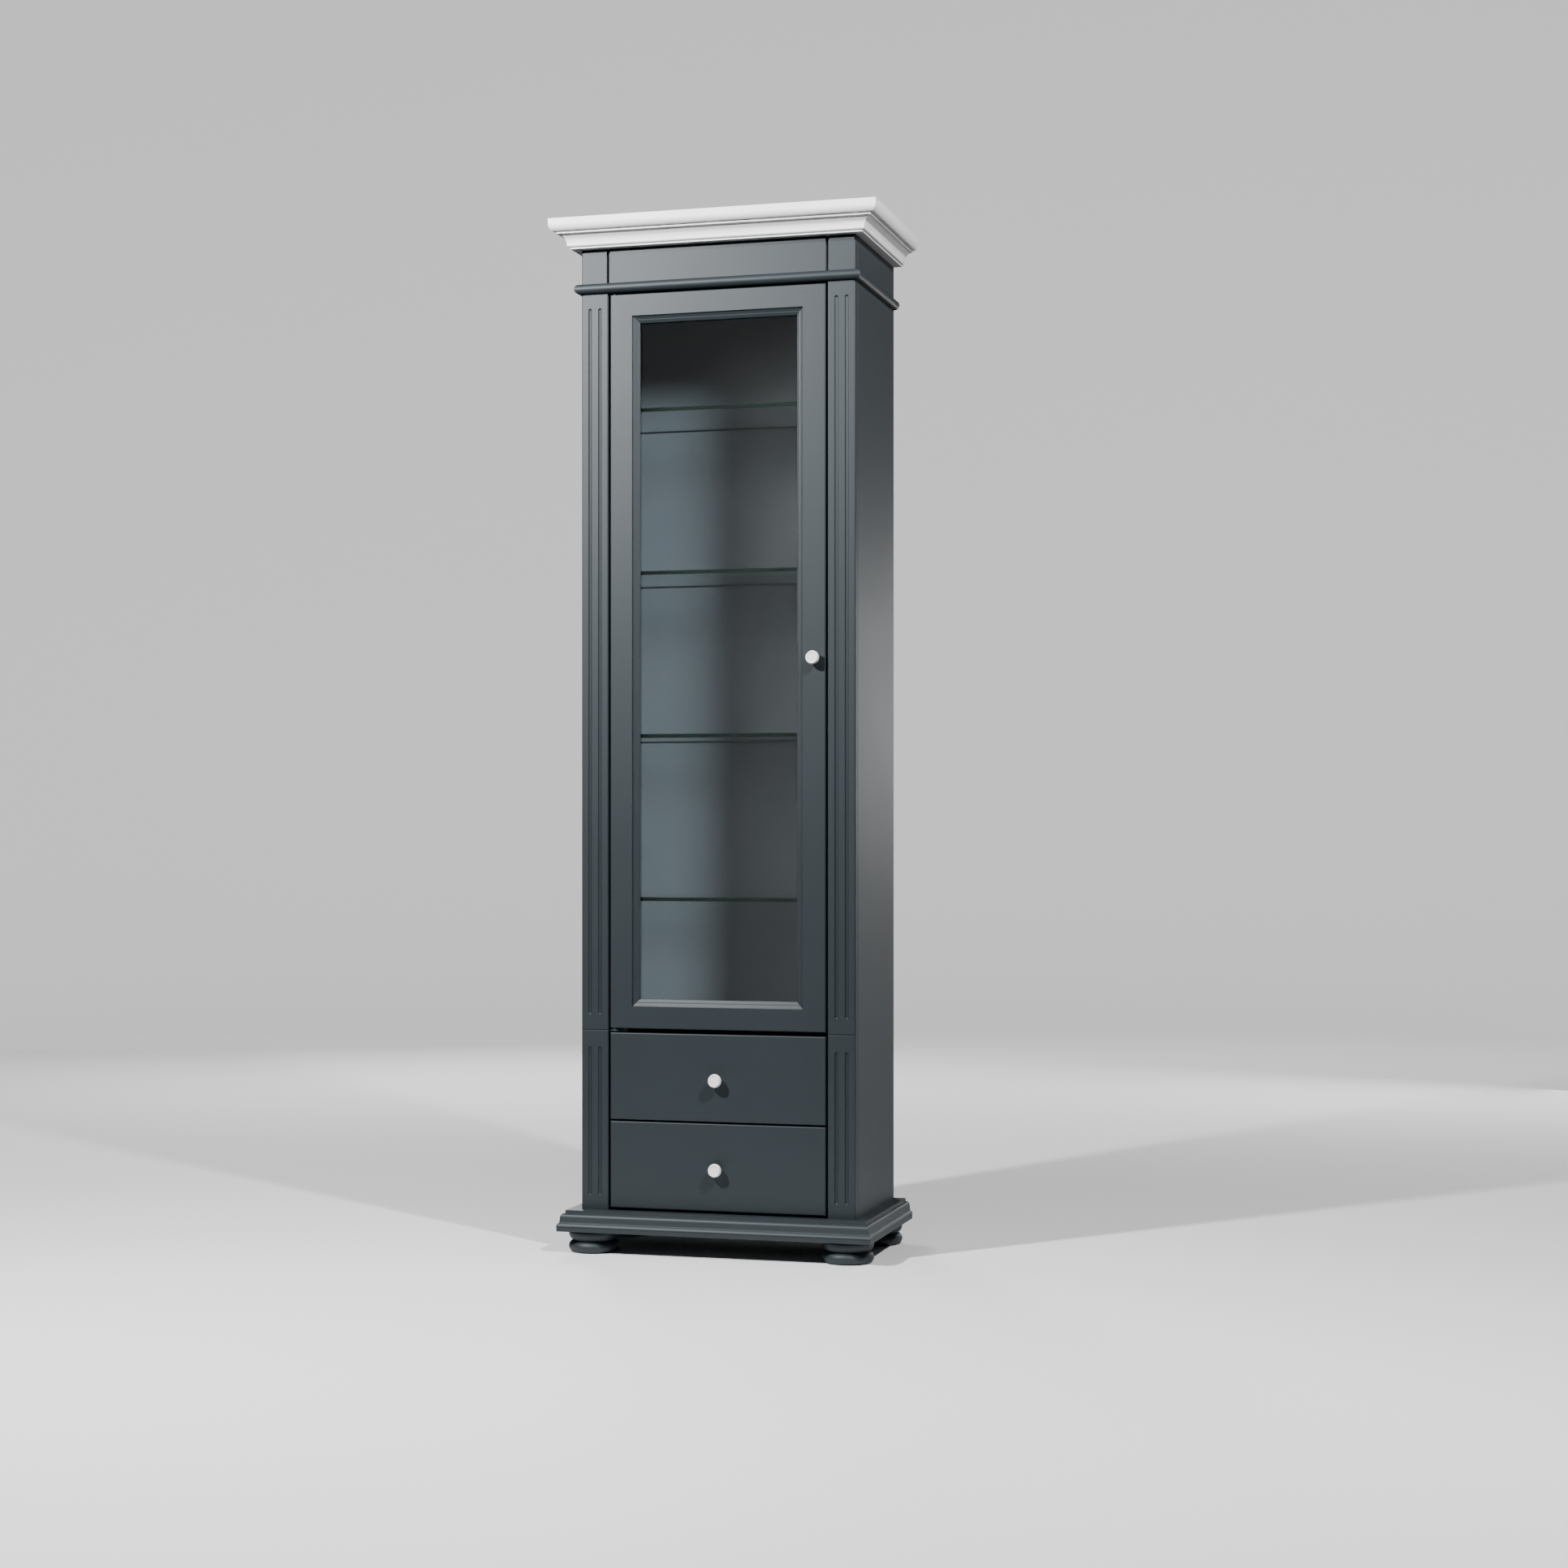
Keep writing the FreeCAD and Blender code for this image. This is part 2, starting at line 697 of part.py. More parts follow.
def runner_section(x_range, z_range, open_side):
    """Channel of a runner: a tray on its side, open towards +X or -X."""
    y_range = (board_front_y, back_panel_y - runner_back_gap)
    tray = box(x_range, y_range, z_range)
    hollow_x = (x_range[0] - cut_overrun, x_range[1] - runner_wall)
    if open_side > 0:
        hollow_x = (x_range[0] + runner_wall, x_range[1] + cut_overrun)
    hollow_y = (y_range[0] - cut_overrun, y_range[1] + cut_overrun)
    hollow_z = (z_range[0] + runner_wall, z_range[1] - runner_wall)
    return tray.cut(box(hollow_x, hollow_y, hollow_z))


drawer_x = opening_x - runner_thickness
drawer_box_lift = panel_thickness - drawer_floor_gap + drawer_box_clearance
drawer_side_height = drawer_front_height - drawer_box_lift - drawer_box_drop


def runner_middle_z(drawer_z):
    """Height of the middle of a drawer's runners."""
    return drawer_z + drawer_box_lift + drawer_side_height / 2


def drawer_housing():
    """Liners that narrow the drawer space, and the runner channels on them."""
    liner = box(
        (opening_x, opening_x + panel_thickness), (frame_back_y, back_panel_y), (bottom_top_z, divider_z))
    channels = []
    for drawer_z in (lower_drawer_z, upper_drawer_z):
        z = runner_middle_z(drawer_z)
        z_range = (z - runner_height / 2, z + runner_height / 2)
        channel = runner_section((drawer_x + runner_side_gap, opening_x), z_range, -1)
        channels += [mirrored(channel), channel]
    return {
        "drawer_liners": Part.makeCompound([mirrored(liner), liner]),
        "runner_channels": Part.makeCompound(channels),
    }


def drawer(name, drawer_z):
    """One drawer: front, box with its bottom in grooves, runner bars, knob and screw."""
    knob_z = drawer_z + drawer_front_height / 2 - drawer_knob_drop
    box_z = drawer_z + drawer_box_lift
    box_top_z = box_z + drawer_side_height
    back_end_y = back_panel_y - drawer_back_gap
    groove_z = (box_z + drawer_groove_lift, box_z + drawer_groove_lift + drawer_bottom_thickness)
    inside_x = drawer_x - drawer_side_thickness
    groove_x = inside_x + drawer_groove_depth
    groove_y = fronts_back_y - drawer_groove_depth
    bottom_groove = box((-groove_x, groove_x), (groove_y, back_end_y), groove_z)
    bottom_x = groove_x - board_play
    bottom = box((-bottom_x, bottom_x), (groove_y + board_play, back_end_y), groove_z)
    side = box((inside_x, drawer_x), (fronts_back_y, back_end_y), (box_z, box_top_z)).cut(bottom_groove)
    front = front_board((-front_x, front_x), (drawer_z, drawer_z + drawer_front_height))
    back_y_range = (back_end_y - drawer_side_thickness, back_end_y)
    play = runner_wall + runner_play
    middle_z = runner_middle_z(drawer_z)
    bar_z = (middle_z - runner_height / 2 + play, middle_z + runner_height / 2 - play)
    runner_bar = runner_section((drawer_x, opening_x - runner_wall - runner_side_gap), bar_z, 1)
    knob, screw = knob_and_screw(0, knob_z)
    return {
        f"{name}_front": front.cut([bottom_groove, screw_hole(0, knob_z)]),
        f"{name}_sides": Part.makeCompound([mirrored(side), side]),
        f"{name}_back": box((-inside_x, inside_x), back_y_range, (groove_z[1], box_top_z)),
        f"{name}_bottom": bottom,
        f"{name}_runner_bars": Part.makeCompound([mirrored(runner_bar), runner_bar]),
        f"{name}_knob": knob,
        f"{name}_knob_screw": screw,
    }


nodes = {}
for group in (
    carcase_boards(),
    front_frame(),
    crown(),
    base(),
    shelves(),
    drawer_housing(),
    {"hinge_pivots": hinge_pivots(), "magnetic_catch": magnetic_catch()},
    door(),
    drawer("upper_drawer", upper_drawer_z),
    drawer("lower_drawer", lower_drawer_z),
):
    nodes.update(group)

for name, shape in nodes.items():
    shape.exportStep(f"parts/{name}.step")
    print(name, len(shape.Solids), "valid" if shape.isValid() else "INVALID", round(shape.Volume))
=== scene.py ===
"""Looks of a tall display cabinet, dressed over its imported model.

Satin slate lacquer on the boards, a white crown, white turned knobs, clear glass, plated fittings and
birch drawer boxes. Metres, +Z up, and the front faces -Y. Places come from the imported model's nodes.
"""

import json
import logging
import math
from collections.abc import Callable
from dataclasses import dataclass, field
from enum import Enum

import bpy
from mathutils import Matrix, Vector


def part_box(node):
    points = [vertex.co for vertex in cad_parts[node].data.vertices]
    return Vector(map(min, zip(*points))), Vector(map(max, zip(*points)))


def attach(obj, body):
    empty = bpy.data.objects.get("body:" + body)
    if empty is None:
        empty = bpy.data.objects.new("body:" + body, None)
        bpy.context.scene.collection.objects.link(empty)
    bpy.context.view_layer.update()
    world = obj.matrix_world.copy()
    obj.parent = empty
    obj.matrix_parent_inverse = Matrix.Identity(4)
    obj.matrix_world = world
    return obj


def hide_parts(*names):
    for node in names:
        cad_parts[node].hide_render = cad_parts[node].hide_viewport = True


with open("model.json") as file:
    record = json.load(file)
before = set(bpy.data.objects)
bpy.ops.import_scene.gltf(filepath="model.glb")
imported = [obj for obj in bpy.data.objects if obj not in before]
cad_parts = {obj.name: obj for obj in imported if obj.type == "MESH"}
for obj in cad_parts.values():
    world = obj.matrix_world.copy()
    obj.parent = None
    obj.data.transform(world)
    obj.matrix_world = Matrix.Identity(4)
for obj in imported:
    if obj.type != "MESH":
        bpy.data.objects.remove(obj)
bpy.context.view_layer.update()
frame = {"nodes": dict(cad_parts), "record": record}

MM = 0.001
WELD_MM = 0.01
JOINT_TOLERANCE_MM = 0.1
FLAT_ANGLE = math.radians(0.5)
SHARP_ANGLE = math.radians(30)
SMOOTH_ANGLE = math.radians(40)
SCREW_SMOOTH_ANGLE = math.radians(35)
ARRIS_STEPS = 2
LOG = logging.getLogger("cabinet")
SLOT_OF = {row["node"]: row["material_slot"] for row in frame["record"]["subparts"]}
BODY_OF = {
    node: body
    for body, nodes in frame["record"]["behaviour"]["bodies"].items()
    for node in nodes
}
SHELVES = tuple(f"glass_shelf_{number}" for number in range(1, 5))
SIDE_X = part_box("side_panel_right")[1].x
FRONT_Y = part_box("pilaster_upper_right")[0].y
GLAZING_LOW, GLAZING_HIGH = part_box("glazing_mouldings")

JointTest = Callable[[Vector], bool]
Place = tuple[float, float, float]
Profile = tuple[tuple[float, float], ...]


class Axis(Enum):
    """Direction of a grain, a ply's thickness or a sheet's flat side."""

    X = 0
    Y = 1
    Z = 2


class Facing(Enum):
    """Direction that a screw's head looks in, or that a moulding stands out in."""

    FRONT = (0.0, -1.0, 0.0)
    BACK = (0.0, 1.0, 0.0)
    LEFT = (-1.0, 0.0, 0.0)
    RIGHT = (1.0, 0.0, 0.0)
    DOWN = (0.0, 0.0, -1.0)
    UP = (0.0, 0.0, 1.0)

    def turn(self) -> Matrix:
        """Turn that takes +Z to this direction."""
        return Vector((0.0, 0.0, 1.0)).rotation_difference(Vector(self.value)).to_matrix().to_4x4()


def linear(hex_colour: str) -> tuple[float, float, float, float]:
    """Turns an sRGB hex value to a linear colour.

    Args:
        hex_colour: Six hex digits after a hash sign.

    Returns:
        Linear red, green, blue and a full alpha.
    """
    shares = [int(hex_colour[start:start + 2], 16) / 255 for start in (1, 3, 5)]
    straight = [((s + 0.055) / 1.055) ** 2.4 if s > 0.04045 else s / 12.92 for s in shares]
    return (*straight, 1.0)


def add(tree: bpy.types.NodeTree, kind: str, inputs: dict | None = None, **settings) -> bpy.types.Node:
    """Adds a node to a material, with its settings and links.

    Args:
        tree: Node tree of the material.
        kind: Blender's name for the kind of node.
        inputs: Values or output sockets, by the name or number of the input.
        **settings: Properties of the node itself.

    Returns:
        The new node.
    """
    node = tree.nodes.new(kind)
    for name, value in settings.items():
        setattr(node, name, value)
    for name, value in (inputs or {}).items():
        if isinstance(value, bpy.types.NodeSocket):
            tree.links.new(value, node.inputs[name])
        else:
            node.inputs[name].default_value = value
    return node


@dataclass(frozen=True)
class Finish:
    """Base of every finish: makes its material once and hands it out by name."""

    name: str

    def material(self) -> bpy.types.Material:
        """Makes the finish's material on first use.

        Returns:
            The material, the same one on every call.
        """
        found = bpy.data.materials.get(self.name)
        if found is not None:
            return found
        made = bpy.data.materials.new(self.name)
        made.use_nodes = True
        made.node_tree.nodes.clear()
        surface = self.surface(made.node_tree)
        add(made.node_tree, "ShaderNodeOutputMaterial", {"Surface": surface})
        return made

    def surface(self, tree: bpy.types.NodeTree) -> bpy.types.NodeSocket:
        """Builds the nodes of this finish.

        Args:
            tree: Node tree of the material.

        Returns:
            The shader's output socket.
        """
        raise NotImplementedError


@dataclass(frozen=True)
class SprayedLacquer(Finish):
    """Satin lacquer sprayed on board: even colour, a broad soft sheen and faint orange peel.

    The peel of real spray work is 2 to 3 mm across.
    """

    colour: str = "#2B3338"
    thin_colour: str = "#2E363B"
    gloss_roughness: float = 0.52
    dull_roughness: float = 0.56
    ior: float = 1.6
    peel_mm: float = 3.0
    peel_depth_mm: float = 0.006
    peel_strength: float = 0.5
    cloud_mm: float = 180.0

    def surface(self, tree: bpy.types.NodeTree) -> bpy.types.NodeSocket:
        """Builds the nodes of this finish.

        Args:
            tree: Node tree of the material.

        Returns:
            The shader's output socket.
        """
        where = add(tree, "ShaderNodeTexCoord").outputs["Object"]
        cloud = add(tree, "ShaderNodeTexNoise", {
            "Vector": where, "Scale": 1 / (self.cloud_mm * MM), "Detail": 3.0})
        tone = add(tree, "ShaderNodeMix", {
            0: cloud.outputs["Fac"], 6: linear(self.colour), 7: linear(self.thin_colour)}, data_type="RGBA")
        sheen = add(tree, "ShaderNodeMapRange", {
            "Value": cloud.outputs["Fac"], "To Min": self.gloss_roughness, "To Max": self.dull_roughness})
        peel = add(tree, "ShaderNodeTexNoise", {
            "Vector": where, "Scale": 1 / (self.peel_mm * MM), "Detail": 1.0})
        bump = add(tree, "ShaderNodeBump", {
            "Height": peel.outputs["Fac"],
            "Strength": self.peel_strength,
            "Distance": self.peel_depth_mm * MM})
        return add(tree, "ShaderNodeBsdfPrincipled", {
            "Base Color": tone.outputs[2],
            "Roughness": sheen.outputs["Result"],
            "Normal": bump.outputs["Normal"],
            "IOR": self.ior,
        }).outputs["BSDF"]


@dataclass(frozen=True)
class FloatGlass(Finish):
    """Float glass: clear faces, and ground edges that look dark green because light runs along the sheet."""

    tint: str = "#FDFEFE"
    shadow_tint: str = "#FBFCFC"
    edge_colour: str = "#061813"
    edge_roughness: float = 0.35
    edge_specular: float = 0.1
    flatness_limit: float = 0.9
    ior: float = 1.52
    flat_side: Axis = Axis.Z

    def surface(self, tree: bpy.types.NodeTree) -> bpy.types.NodeSocket:
        """Builds the nodes of this finish.

        Args:
            tree: Node tree of the material.

        Returns:
            The shader's output socket.
        """
        where = add(tree, "ShaderNodeTexCoord")
        clear = add(tree, "ShaderNodeBsdfPrincipled", {
            "Base Color": linear(self.tint),
            "Roughness": 0.0,
            "IOR": self.ior,
            "Transmission Weight": 1.0,
        })
        see_through = add(tree, "ShaderNodeBsdfTransparent", {"Color": linear(self.shadow_tint)})
        path = add(tree, "ShaderNodeLightPath")
        pane = add(tree, "ShaderNodeMixShader", {
            0: path.outputs["Is Shadow Ray"], 1: clear.outputs["BSDF"], 2: see_through.outputs["BSDF"]})
        edge = add(tree, "ShaderNodeBsdfPrincipled", {
            "Base Color": linear(self.edge_colour),
            "Roughness": self.edge_roughness,
            "Specular IOR Level": self.edge_specular,
        })
        normal = add(tree, "ShaderNodeSeparateXYZ", {"Vector": where.outputs["Normal"]})
        flatness = add(tree, "ShaderNodeMath", {
            0: normal.outputs[self.flat_side.value]}, operation="ABSOLUTE")
        on_face = add(tree, "ShaderNodeMath", {
            0: flatness.outputs[0], 1: self.flatness_limit}, operation="GREATER_THAN")
        return add(tree, "ShaderNodeMixShader", {
            0: on_face.outputs[0], 1: edge.outputs["BSDF"], 2: pane.outputs[0]}).outputs[0]


@dataclass(frozen=True)
class PlatedMetal(Finish):
    """Rolled or turned metal with a thin plating: a soft gleam with fine draw lines.

    Real draw lines are much finer. These are as coarse as they need to be to show.
    """

    colour: str = "#B4B7BA"
    roughness: float = 0.32
    roughness_spread: float = 0.08
    line_mm: float = 0.8
    line_length_mm: float = 40.0
    line_axis: Axis = Axis.Y

    def surface(self, tree: bpy.types.NodeTree) -> bpy.types.NodeSocket:
        """Builds the nodes of this finish.

        Args:
            tree: Node tree of the material.

        Returns:
            The shader's output socket.
        """
        where = add(tree, "ShaderNodeTexCoord").outputs["Object"]
        across, along = 1 / (self.line_mm * MM), 1 / (self.line_length_mm * MM)
        scale = [along if axis is self.line_axis else across for axis in Axis]
        stretched = add(tree, "ShaderNodeMapping", {"Vector": where, "Scale": scale})
        lines = add(tree, "ShaderNodeTexNoise", {"Vector": stretched.outputs[0], "Scale": 1.0, "Detail": 2.0})
        sheen = add(tree, "ShaderNodeMapRange", {
            "Value": lines.outputs["Fac"],
            "To Min": self.roughness - self.roughness_spread,
            "To Max": self.roughness + self.roughness_spread})
        return add(tree, "ShaderNodeBsdfPrincipled", {
            "Base Color": linear(self.colour),
            "Metallic": 1.0,
            "Roughness": sheen.outputs["Result"],
        }).outputs["BSDF"]


@dataclass(frozen=True)
class MouldedPlastic(Finish):
    """Moulded black plastic: a dull dark sheen, broken up by the fine eroded grain of its mould.

    Real mould grain is finer. This is as coarse as it needs to be to show.
    """

    colour: str = "#17181A"
    roughness: float = 0.5
    grain_mm: float = 0.6
    grain_depth_mm: float = 0.05
    grain_strength: float = 0.4

    def surface(self, tree: bpy.types.NodeTree) -> bpy.types.NodeSocket:
        """Builds the nodes of this finish.

        Args:
            tree: Node tree of the material.

        Returns:
            The shader's output socket.
        """
        where = add(tree, "ShaderNodeTexCoord").outputs["Object"]
        grain = add(tree, "ShaderNodeTexNoise", {
            "Vector": where, "Scale": 1 / (self.grain_mm * MM), "Detail": 2.0})
        bump = add(tree, "ShaderNodeBump", {
            "Height": grain.outputs["Fac"],
            "Strength": self.grain_strength,
            "Distance": self.grain_depth_mm * MM})
        return add(tree, "ShaderNodeBsdfPrincipled", {
            "Base Color": linear(self.colour),
            "Roughness": self.roughness,
            "Normal": bump.outputs["Normal"],
        }).outputs["BSDF"]


@dataclass(frozen=True)
class BirchPly(Finish):
    """Clear-lacquered birch ply: quiet grain on the faces, thin pale and brown layers on the edges."""

    pale: str = "#D9C19A"
    dark: str = "#C6A577"
    glue: str = "#9C7A4E"
    roughness: float = 0.42
    grain_mm: float = 5.0
    grain_length_mm: float = 190.0
    grain_depth_mm: float = 0.1
    grain_strength: float = 0.3
    grain_range: tuple[float, float] = (0.35, 0.65)
    layer_mm: float = 1.5
    layer_blend: float = 0.3
    flatness_limit: float = 0.5
    grain: Axis = Axis.Y
    thickness: Axis = Axis.X

    def surface(self, tree: bpy.types.NodeTree) -> bpy.types.NodeSocket:
        """Builds the nodes of this finish.

        Args:
            tree: Node tree of the material.

        Returns:
            The shader's output socket.
        """
        where = add(tree, "ShaderNodeTexCoord")
        across, along = 1 / (self.grain_mm * MM), 1 / (self.grain_length_mm * MM)
        scale = [along if axis is self.grain else across for axis in Axis]
        stretched = add(tree, "ShaderNodeMapping", {"Vector": where.outputs["Object"], "Scale": scale})
        growth = add(tree, "ShaderNodeTexNoise", {
            "Vector": stretched.outputs[0], "Scale": 1.0, "Detail": 5.0, "Distortion": 0.6})
        band = add(tree, "ShaderNodeMapRange", {
            "Value": growth.outputs["Fac"], "From Min": self.grain_range[0], "From Max": self.grain_range[1]})
        face = add(tree, "ShaderNodeMix", {
            0: band.outputs["Result"], 6: linear(self.pale), 7: linear(self.dark)}, data_type="RGBA")
        place = add(tree, "ShaderNodeSeparateXYZ", {"Vector": where.outputs["Object"]})
        turns = add(tree, "ShaderNodeMath", {
            0: place.outputs[self.thickness.value], 1: math.pi / (self.layer_mm * MM)}, operation="MULTIPLY")
        ripple = add(tree, "ShaderNodeMath", {0: turns.outputs[0]}, operation="SINE")
        layer = add(tree, "ShaderNodeMapRange", {
            "Value": ripple.outputs[0], "From Min": -self.layer_blend, "From Max": self.layer_blend})
        edge = add(tree, "ShaderNodeMix", {
            0: layer.outputs["Result"], 6: linear(self.glue), 7: linear(self.pale)}, data_type="RGBA")
        normal = add(tree, "ShaderNodeSeparateXYZ", {"Vector": where.outputs["Normal"]})
        flatness = add(tree, "ShaderNodeMath", {
            0: normal.outputs[self.thickness.value]}, operation="ABSOLUTE")
        on_face = add(tree, "ShaderNodeMath", {
            0: flatness.outputs[0], 1: self.flatness_limit}, operation="GREATER_THAN")
        tone = add(tree, "ShaderNodeMix", {
            0: on_face.outputs[0], 6: edge.outputs[2], 7: face.outputs[2]}, data_type="RGBA")
        bump = add(tree, "ShaderNodeBump", {
            "Height": growth.outputs["Fac"],
            "Strength": self.grain_strength,
            "Distance": self.grain_depth_mm * MM})
        return add(tree, "ShaderNodeBsdfPrincipled", {
            "Base Color": tone.outputs[2],
            "Roughness": self.roughness,
            "Normal": bump.outputs["Normal"],
        }).outputs["BSDF"]


@dataclass(frozen=True)
class StudioPaper(Finish):
    """Seamless pale paper of the stage, with a barely visible mottle and a glow that grows outwards."""

    colour: str = "#ECECEC"
    mottle_colour: str = "#EFEFEF"
    mottle_metres: float = 2.5
    roughness: float = 0.9
    specular: float = 0.2
    glow: float = 0.5
    glow_start: float = 1.0
    glow_end: float = 6.0

    def surface(self, tree: bpy.types.NodeTree) -> bpy.types.NodeSocket:
        """Builds the nodes of this finish.

        Args:
            tree: Node tree of the material.

        Returns:
            The shader's output socket.
        """
        where = add(tree, "ShaderNodeTexCoord").outputs["Object"]
        mottle = add(tree, "ShaderNodeTexNoise", {
            "Vector": where, "Scale": 1 / self.mottle_metres, "Detail": 1.0})
        tone = add(tree, "ShaderNodeMix", {
            0: mottle.outputs["Fac"],
            6: linear(self.colour),
            7: linear(self.mottle_colour)}, data_type="RGBA")
        level = add(tree, "ShaderNodeVectorMath", {0: where, 1: (1.0, 1.0, 0.0)}, operation="MULTIPLY")
        distance = add(tree, "ShaderNodeVectorMath", {0: level.outputs["Vector"]}, operation="LENGTH")
        glow = add(tree, "ShaderNodeMapRange", {
            "Value": distance.outputs["Value"],
            "From Min": self.glow_start,
            "From Max": self.glow_end,
            "To Max": self.glow}, interpolation_type="SMOOTHSTEP")
        return add(tree, "ShaderNodeBsdfPrincipled", {
            "Base Color": tone.outputs[2],
            "Roughness": self.roughness,
            "Specular IOR Level": self.specular,
            "Emission Color": (1.0, 1.0, 1.0, 1.0),
            "Emission Strength": glow.outputs["Result"],
        }).outputs["BSDF"]


FINISHES: dict[str, Finish] = {
    "slate_paint": SprayedLacquer("slate_satin_lacquer"),
    "white_paint": SprayedLacquer("white_satin_lacquer", colour="#EDEDEC", thin_colour="#F0F0EF"),
    "white_knob": SprayedLacquer(
        "white_gloss_lacquer", colour="#F0F0EF", thin_colour="#F3F3F2",
        gloss_roughness=0.3, dull_roughness=0.36),
    "shelf_glass": FloatGlass("float_glass_ground_edges"),
    "door_glass": FloatGlass("float_glass_pane", flat_side=Axis.Y),
    "zinc_steel": PlatedMetal("zinc_plated_steel"),
    "brass_bush": PlatedMetal("turned_brass", colour="#C8A05A", roughness=0.28),
    "catch_plastic": MouldedPlastic("moulded_black_plastic"),
    "plinth_pine": SprayedLacquer("slate_lacquer_on_pine", cloud_mm=60.0, peel_depth_mm=0.05),
}
DRAWER_PLY: dict[str, Finish] = {
    "sides": BirchPly("birch_ply_sides"),
    "back": BirchPly("birch_ply_back", grain=Axis.X, thickness=Axis.Y),
    "bottom": BirchPly("birch_ply_bottom", grain=Axis.X, thickness=Axis.Z, layer_mm=1.2),
}


def select_only(piece: bpy.types.Object) -> None:
    """Makes one object the only selected and the active one."""
    bpy.ops.object.select_all(action="DESELECT")
    piece.select_set(True)
    bpy.context.view_layer.objects.active = piece


def apply_modifier(piece: bpy.types.Object, kind: str, **settings) -> None:
    """Adds a modifier and applies it at once.

    Args:
        piece: The active object.
        kind: Blender's name for the kind of modifier.
        **settings: Properties of the modifier.
    """
    modifier = piece.modifiers.new(kind.lower(), kind)
    for name, value in settings.items():
        setattr(modifier, name, value)
    bpy.ops.object.modifier_apply(modifier=modifier.name)


def edit_edges(action: str) -> None:
    """Enters edit mode on the active object, with every edge selected or none.

    Args:
        action: SELECT for every edge, DESELECT for none.
    """
    bpy.ops.object.mode_set(mode="EDIT")
    bpy.ops.mesh.select_mode(type="EDGE")
    bpy.ops.mesh.select_all(action=action)


def three_sided_mitre(corner: Vector) -> bool:
    """Tells whether a point lies in the mitre of a moulding that runs round the front and both sides."""
    return abs(abs(corner.x) + corner.y - SIDE_X - FRONT_Y) < JOINT_TOLERANCE_MM * MM


def glazing_mitre(corner: Vector) -> bool:
    """Tells whether a point lies in a mitre of the strips round the glass.

    Args:
        corner: The point.

    Returns:
        True for a point on one of the four mitres.
    """
    half, middle = (GLAZING_HIGH - GLAZING_LOW) / 2, (GLAZING_HIGH + GLAZING_LOW) / 2
    off_mitre = abs(corner.x - middle.x) - half.x - abs(corner.z - middle.z) + half.z
    return abs(off_mitre) < JOINT_TOLERANCE_MM * MM


def stile_joint(corner: Vector) -> bool:
    """Tells whether a point lies in a joint between a stile and a rail, which the lacquer bridges."""
    return abs(abs(corner.x) - GLAZING_HIGH.x) < JOINT_TOLERANCE_MM * MM


def edges_in(piece: bpy.types.Object, joint: JointTest | None) -> list[bpy.types.MeshEdge]:
    """Finds the edges of a piece that lie in a joint.

    Args:
        piece: Object with a merged mesh.
        joint: Test for points of the joint, or None where the piece has no joint.

    Returns:
        The edges whose both ends pass the test.
    """
    corners = piece.data.vertices
    return [
        edge for edge in piece.data.edges
        if joint and all(joint(corners[end].co) for end in edge.vertices)
    ]


def ease_arrises(piece: bpy.types.Object, width_mm: float, joint: JointTest | None) -> None:
    """Rounds the sharp arrises of a piece, apart from those that lie in a joint.

    Args:
        piece: Object with a merged mesh.
        width_mm: Width of the rounding on each sharp arris.
        joint: Test for points of a joint, whose arrises stay sharp so that it closes.
    """
    select_only(piece)
    edit_edges("DESELECT")
    bpy.ops.mesh.edges_select_sharp(sharpness=SHARP_ANGLE)
    bpy.ops.object.mode_set(mode="OBJECT")
    for edge in edges_in(piece, joint):
        edge.select = False
    bpy.ops.object.mode_set(mode="EDIT")
    bpy.ops.mesh.bevel(offset=width_mm * MM, segments=ARRIS_STEPS, affect="EDGES", clamp_overlap=True)
    bpy.ops.object.mode_set(mode="OBJECT")
    for edge in edges_in(piece, joint):
        edge.use_edge_sharp = True
    bpy.ops.object.shade_smooth_by_angle(angle=SMOOTH_ANGLE)
    apply_modifier(piece, "WEIGHTED_NORMAL", keep_sharp=True)


def stand_for(piece: bpy.types.Object, node: str) -> None:
    """Lets a piece ride on a CAD node's body in place of the node.

    Args:
        piece: The new piece.
        node: Name of the CAD node.
    """
    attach(piece, BODY_OF[node])
    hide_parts(node)


def eased_copy(node: str, width_mm: float, joint: JointTest | None = None) -> bpy.types.Object:
    """Copies a CAD node, eases its sharp arrises and lets the copy stand for it.

    Args:
        node: Name of the CAD node.
        width_mm: Width of the rounding on each sharp arris.
        joint: Test for points of a joint, whose arrises stay sharp so that it closes.

    Returns:
        The eased piece, riding on the node's body.
    """
    piece = bpy.data.objects.new(f"{node}_eased", frame["nodes"][node].data.copy())
    bpy.context.scene.collection.objects.link(piece)
    select_only(piece)
    bpy.ops.mesh.customdata_custom_splitnormals_clear()
    edit_edges("SELECT")
    bpy.ops.mesh.remove_doubles(threshold=WELD_MM * MM)
    bpy.ops.mesh.dissolve_limited(angle_limit=FLAT_ANGLE)
    bpy.ops.object.mode_set(mode="OBJECT")
    ease_arrises(piece, width_mm, joint)
    stand_for(piece, node)
    return piece


def close_sweep() -> None:
    """Welds the last row of a sweep to its first one and turns the faces outwards."""
    bpy.ops.mesh.select_all(action="SELECT")
    bpy.ops.mesh.remove_doubles(threshold=WELD_MM * MM)
    bpy.ops.mesh.select_all(action="SELECT")
    bpy.ops.mesh.normals_make_consistent(inside=False)


